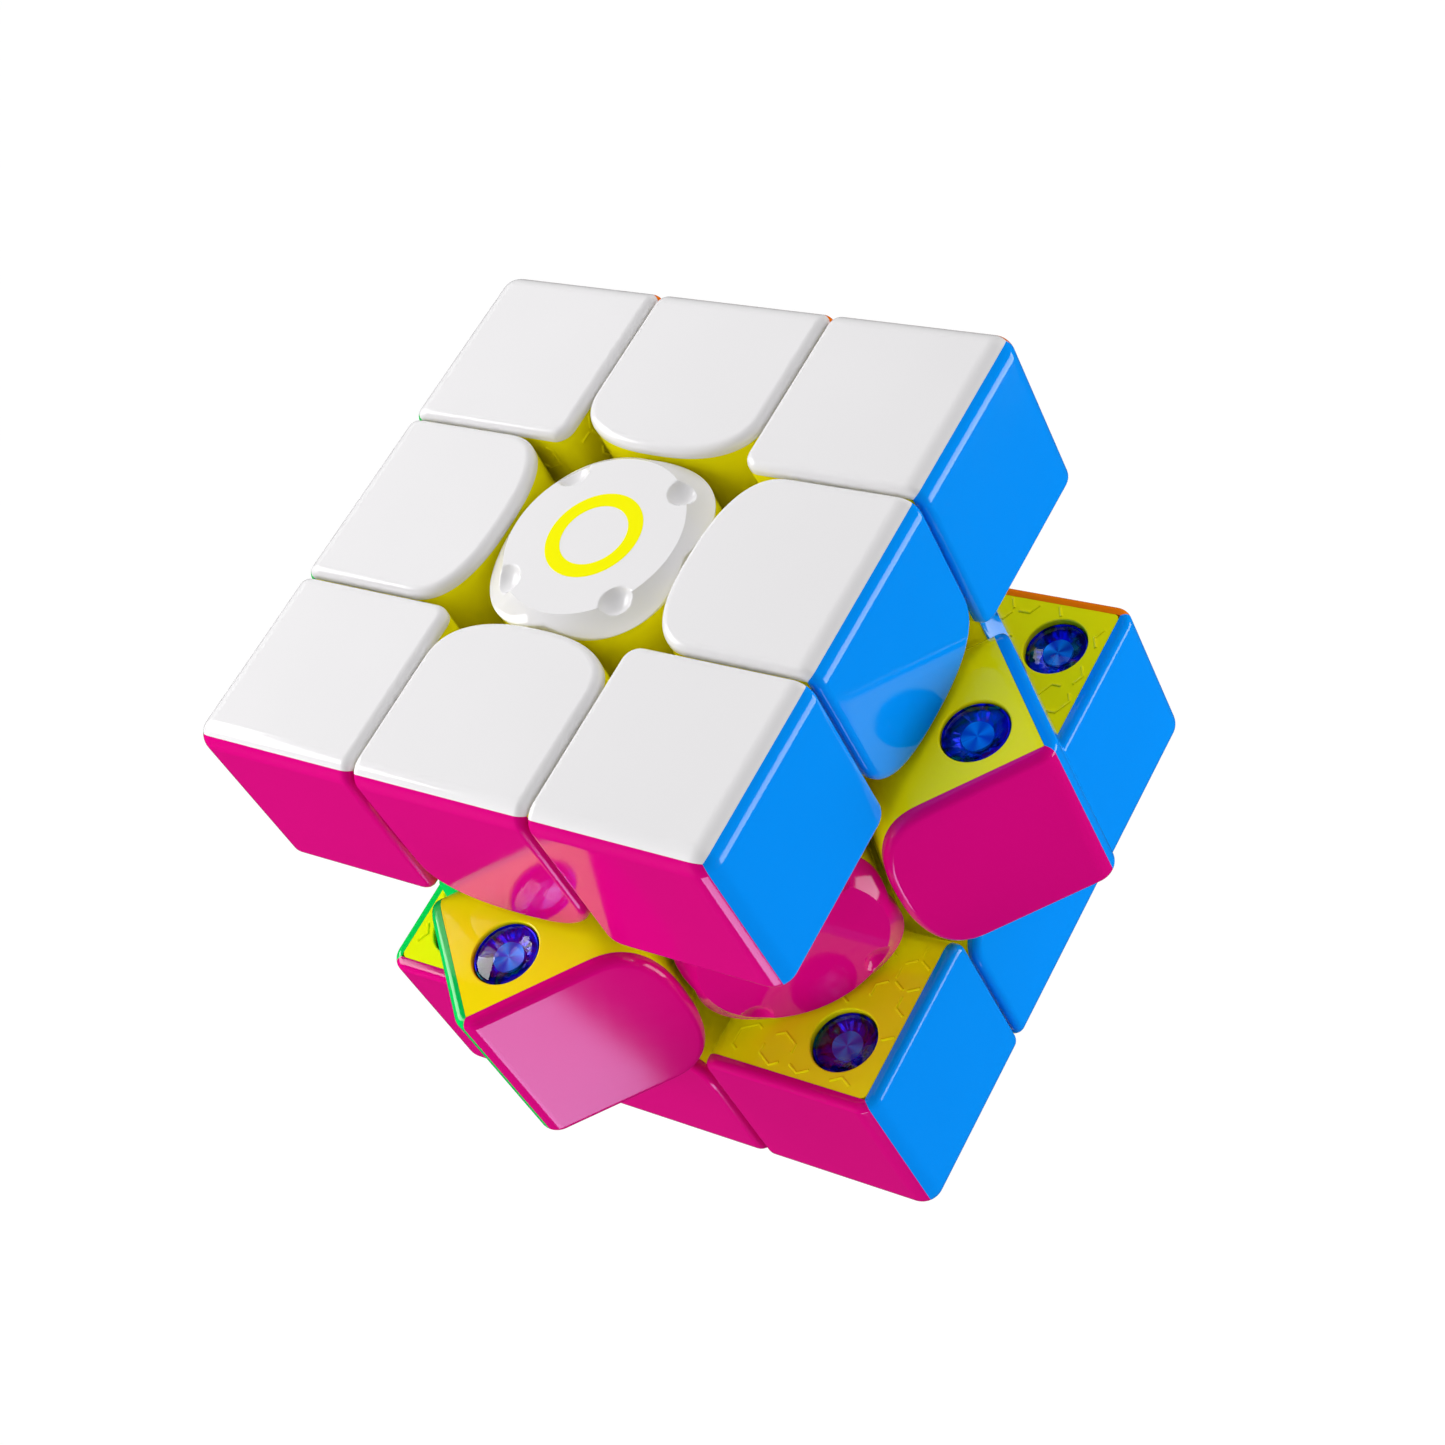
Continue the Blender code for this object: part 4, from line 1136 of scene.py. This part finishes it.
ball_low = maths(cap_tree, "SUBTRACT", given["Cap High"], given["Dimple Depth"])
ball_low = maths(cap_tree, "SUBTRACT", maths(cap_tree, "ADD", ball_low, given["Dimple Ball"]), ball_side)
dimpled = maths(cap_tree, "SMOOTH_MIN", sloped, ball_low, given["Dimple Edge"])
shaped = {"Z": dimpled}
for number, side in enumerate("XY"):
    shaped[side] = maths(cap_tree, "MULTIPLY", spot[number], outward)
shaped = add(cap_tree, "ShaderNodeCombineXYZ", shaped)
lobed_cap = {"Geometry": given["Base"], "Position": shaped.outputs[0]}
end_tree(cap_tree, given, add(cap_tree, "GeometryNodeSetPosition", lobed_cap).outputs[0])
cap_mesh = faired(grow(cap_tree, cap_blank(), cap_sizes))
for face, axis in AXES.items():
    cap = turned_copy(cap_mesh, layer_turn(layer_of(face)) @ facing(axis))
    fit("cap_" + face, cap, face_plastics[face], "cap_" + face, face_slots[face], "centre_cap_" + face)


# Printed ring: a plain ring of yellow ink, pad-printed in the middle of the white cap. It shows which way
# up the cube is held, and it is too thin to feel.
RING_INSIDE = 3.2 * MM
RING_OUTSIDE = 4.6 * MM
INK_THICKNESS = 0.015 * MM

ring_profile = [
    (RING_INSIDE, CAP_HIGH + INK_THICKNESS),
    (RING_OUTSIDE, CAP_HIGH + INK_THICKNESS),
    (RING_OUTSIDE, CAP_HIGH - INK_THICKNESS),
    (RING_INSIDE, CAP_HIGH - INK_THICKNESS),
    (RING_INSIDE, CAP_HIGH + INK_THICKNESS),
]
yellow_ink = moulded_plastic("yellow_ink", (0.93, 0.90, 0.0), shine=(0.15, 0.22))
fit("printed_ring", faired(turned(ring_profile, 128)), yellow_ink, "cap_top", "face_yellow")


# Stage: a plain pale floor well below the cube, which hangs in the air as on a studio rig, a camera at the
# viewing angle with its roll, and soft lamps. The floor and the world are white to the camera.
FLOOR_DEPTH = 0.5
FLOOR_HALF = 6.0
FLOOR_THICKNESS = 0.01
EYE = Vector((146.273, -103.679, 183.803)) * MM
AIM = Vector((0.341, 0.663, 0.106)) * MM
CAMERA_ROLL = math.radians(-32.3116)
CAMERA_LENS = 69.306
CAMERA_NEAR = 0.01
FILL_SHARE = 0.36
GLOSSY_SHARE = 0.01
GLASS_SHARE = 0.10

scene = bpy.context.scene
scene.view_settings.view_transform = "Standard"
camera = bpy.data.objects.new("camera", bpy.data.cameras.new("camera"))
scene.collection.objects.link(camera)
scene.camera = camera
camera.data.lens = CAMERA_LENS
camera.data.clip_start = CAMERA_NEAR
upright = (EYE - AIM).to_track_quat("Z", "Y").to_matrix().to_4x4()
camera.matrix_world = Matrix.Translation(EYE) @ upright @ Matrix.Rotation(CAMERA_ROLL, 4, "Z")


def background_glow(tree):
    """How bright the background is to a ray: white to the camera, and far less to fill, gloss and glass."""
    path = add(tree, "ShaderNodeLightPath").outputs
    glow = maths(tree, "MULTIPLY_ADD", path["Is Glossy Ray"], GLOSSY_SHARE - FILL_SHARE, FILL_SHARE)
    glow = maths(tree, "MULTIPLY_ADD", path["Is Transmission Ray"], GLASS_SHARE - FILL_SHARE, glow)
    return maths(tree, "MAXIMUM", path["Is Camera Ray"], glow)


def softbox(name, towards, distance, width, height, level, mirrored=True, tint=(1, 1, 1)):
    """A soft lamp that looks at the cube. Its level is how bright it makes a white face that looks at it."""
    lamp = bpy.data.lights.new(name, "AREA")
    lamp.shape = "RECTANGLE"
    lamp.size = width
    lamp.size_y = height
    lamp.energy = level * (math.pi * distance) ** 2
    lamp.color = tint
    obj = bpy.data.objects.new(name, lamp)
    scene.collection.objects.link(obj)
    obj.location = Vector(towards).normalized() * distance
    obj.rotation_euler = Vector(towards).to_track_quat("Z", "Y").to_euler()
    obj.visible_camera = False
    obj.visible_glossy = mirrored


world = bpy.data.worlds.new("studio")
world.use_nodes = True
scene.world = world
backdrop = world.node_tree.nodes["Background"]
backdrop.inputs["Color"].default_value = (1, 1, 1, 1)
world.node_tree.links.new(background_glow(world.node_tree), backdrop.inputs["Strength"])

paper, paper_tree, paper_shader = new_material("studio_floor")
paper_shader.inputs["Base Color"].default_value = (0.02, 0.02, 0.02, 1)
paper_shader.inputs["Roughness"].default_value = 0.9
paper_shader.inputs["Specular IOR Level"].default_value = 0.0
paper_shader.inputs["Emission Color"].default_value = (1, 1, 1, 1)
paper_tree.links.new(background_glow(paper_tree), paper_shader.inputs["Emission Strength"])
floor_low = (-FLOOR_HALF, -FLOOR_HALF, -FLOOR_DEPTH - FLOOR_THICKNESS)
floor_mesh = block(floor_low, (FLOOR_HALF, FLOOR_HALF, -FLOOR_DEPTH))
floor = on_bench("floor", floor_mesh)
floor_mesh.materials.append(paper)
floor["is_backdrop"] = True

softbox("key", (-0.82, -0.16, 0.55), 0.34, 0.23, 0.17, 0.73)
softbox("front_strip", (0.132, -0.677, -0.724), 0.60, 0.215, 0.085, 0.085, tint=(0.64, 0.58, 1.0))
softbox("right_strip", (0.781, 0.487, -0.391), 0.40, 0.32, 0.18, 0.50)
softbox("front_fill", (-0.45, -0.88, -0.15), 0.45, 0.30, 0.30, 0.72, mirrored=False)
softbox("right_fill", (0.95, 0.10, -0.30), 0.45, 0.30, 0.30, 0.35, mirrored=False)
softbox("back_fill", (0.05, 0.78, 0.62), 0.60, 0.40, 0.40, 0.45, mirrored=False)
softbox("front_top_fill", (0.10, -0.75, 0.65), 0.60, 0.40, 0.40, 0.25, mirrored=False)

boxes = {"cad": cad_box, "visual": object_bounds()}
{name: [list(corner) for corner in box] for name, box in boxes.items()}
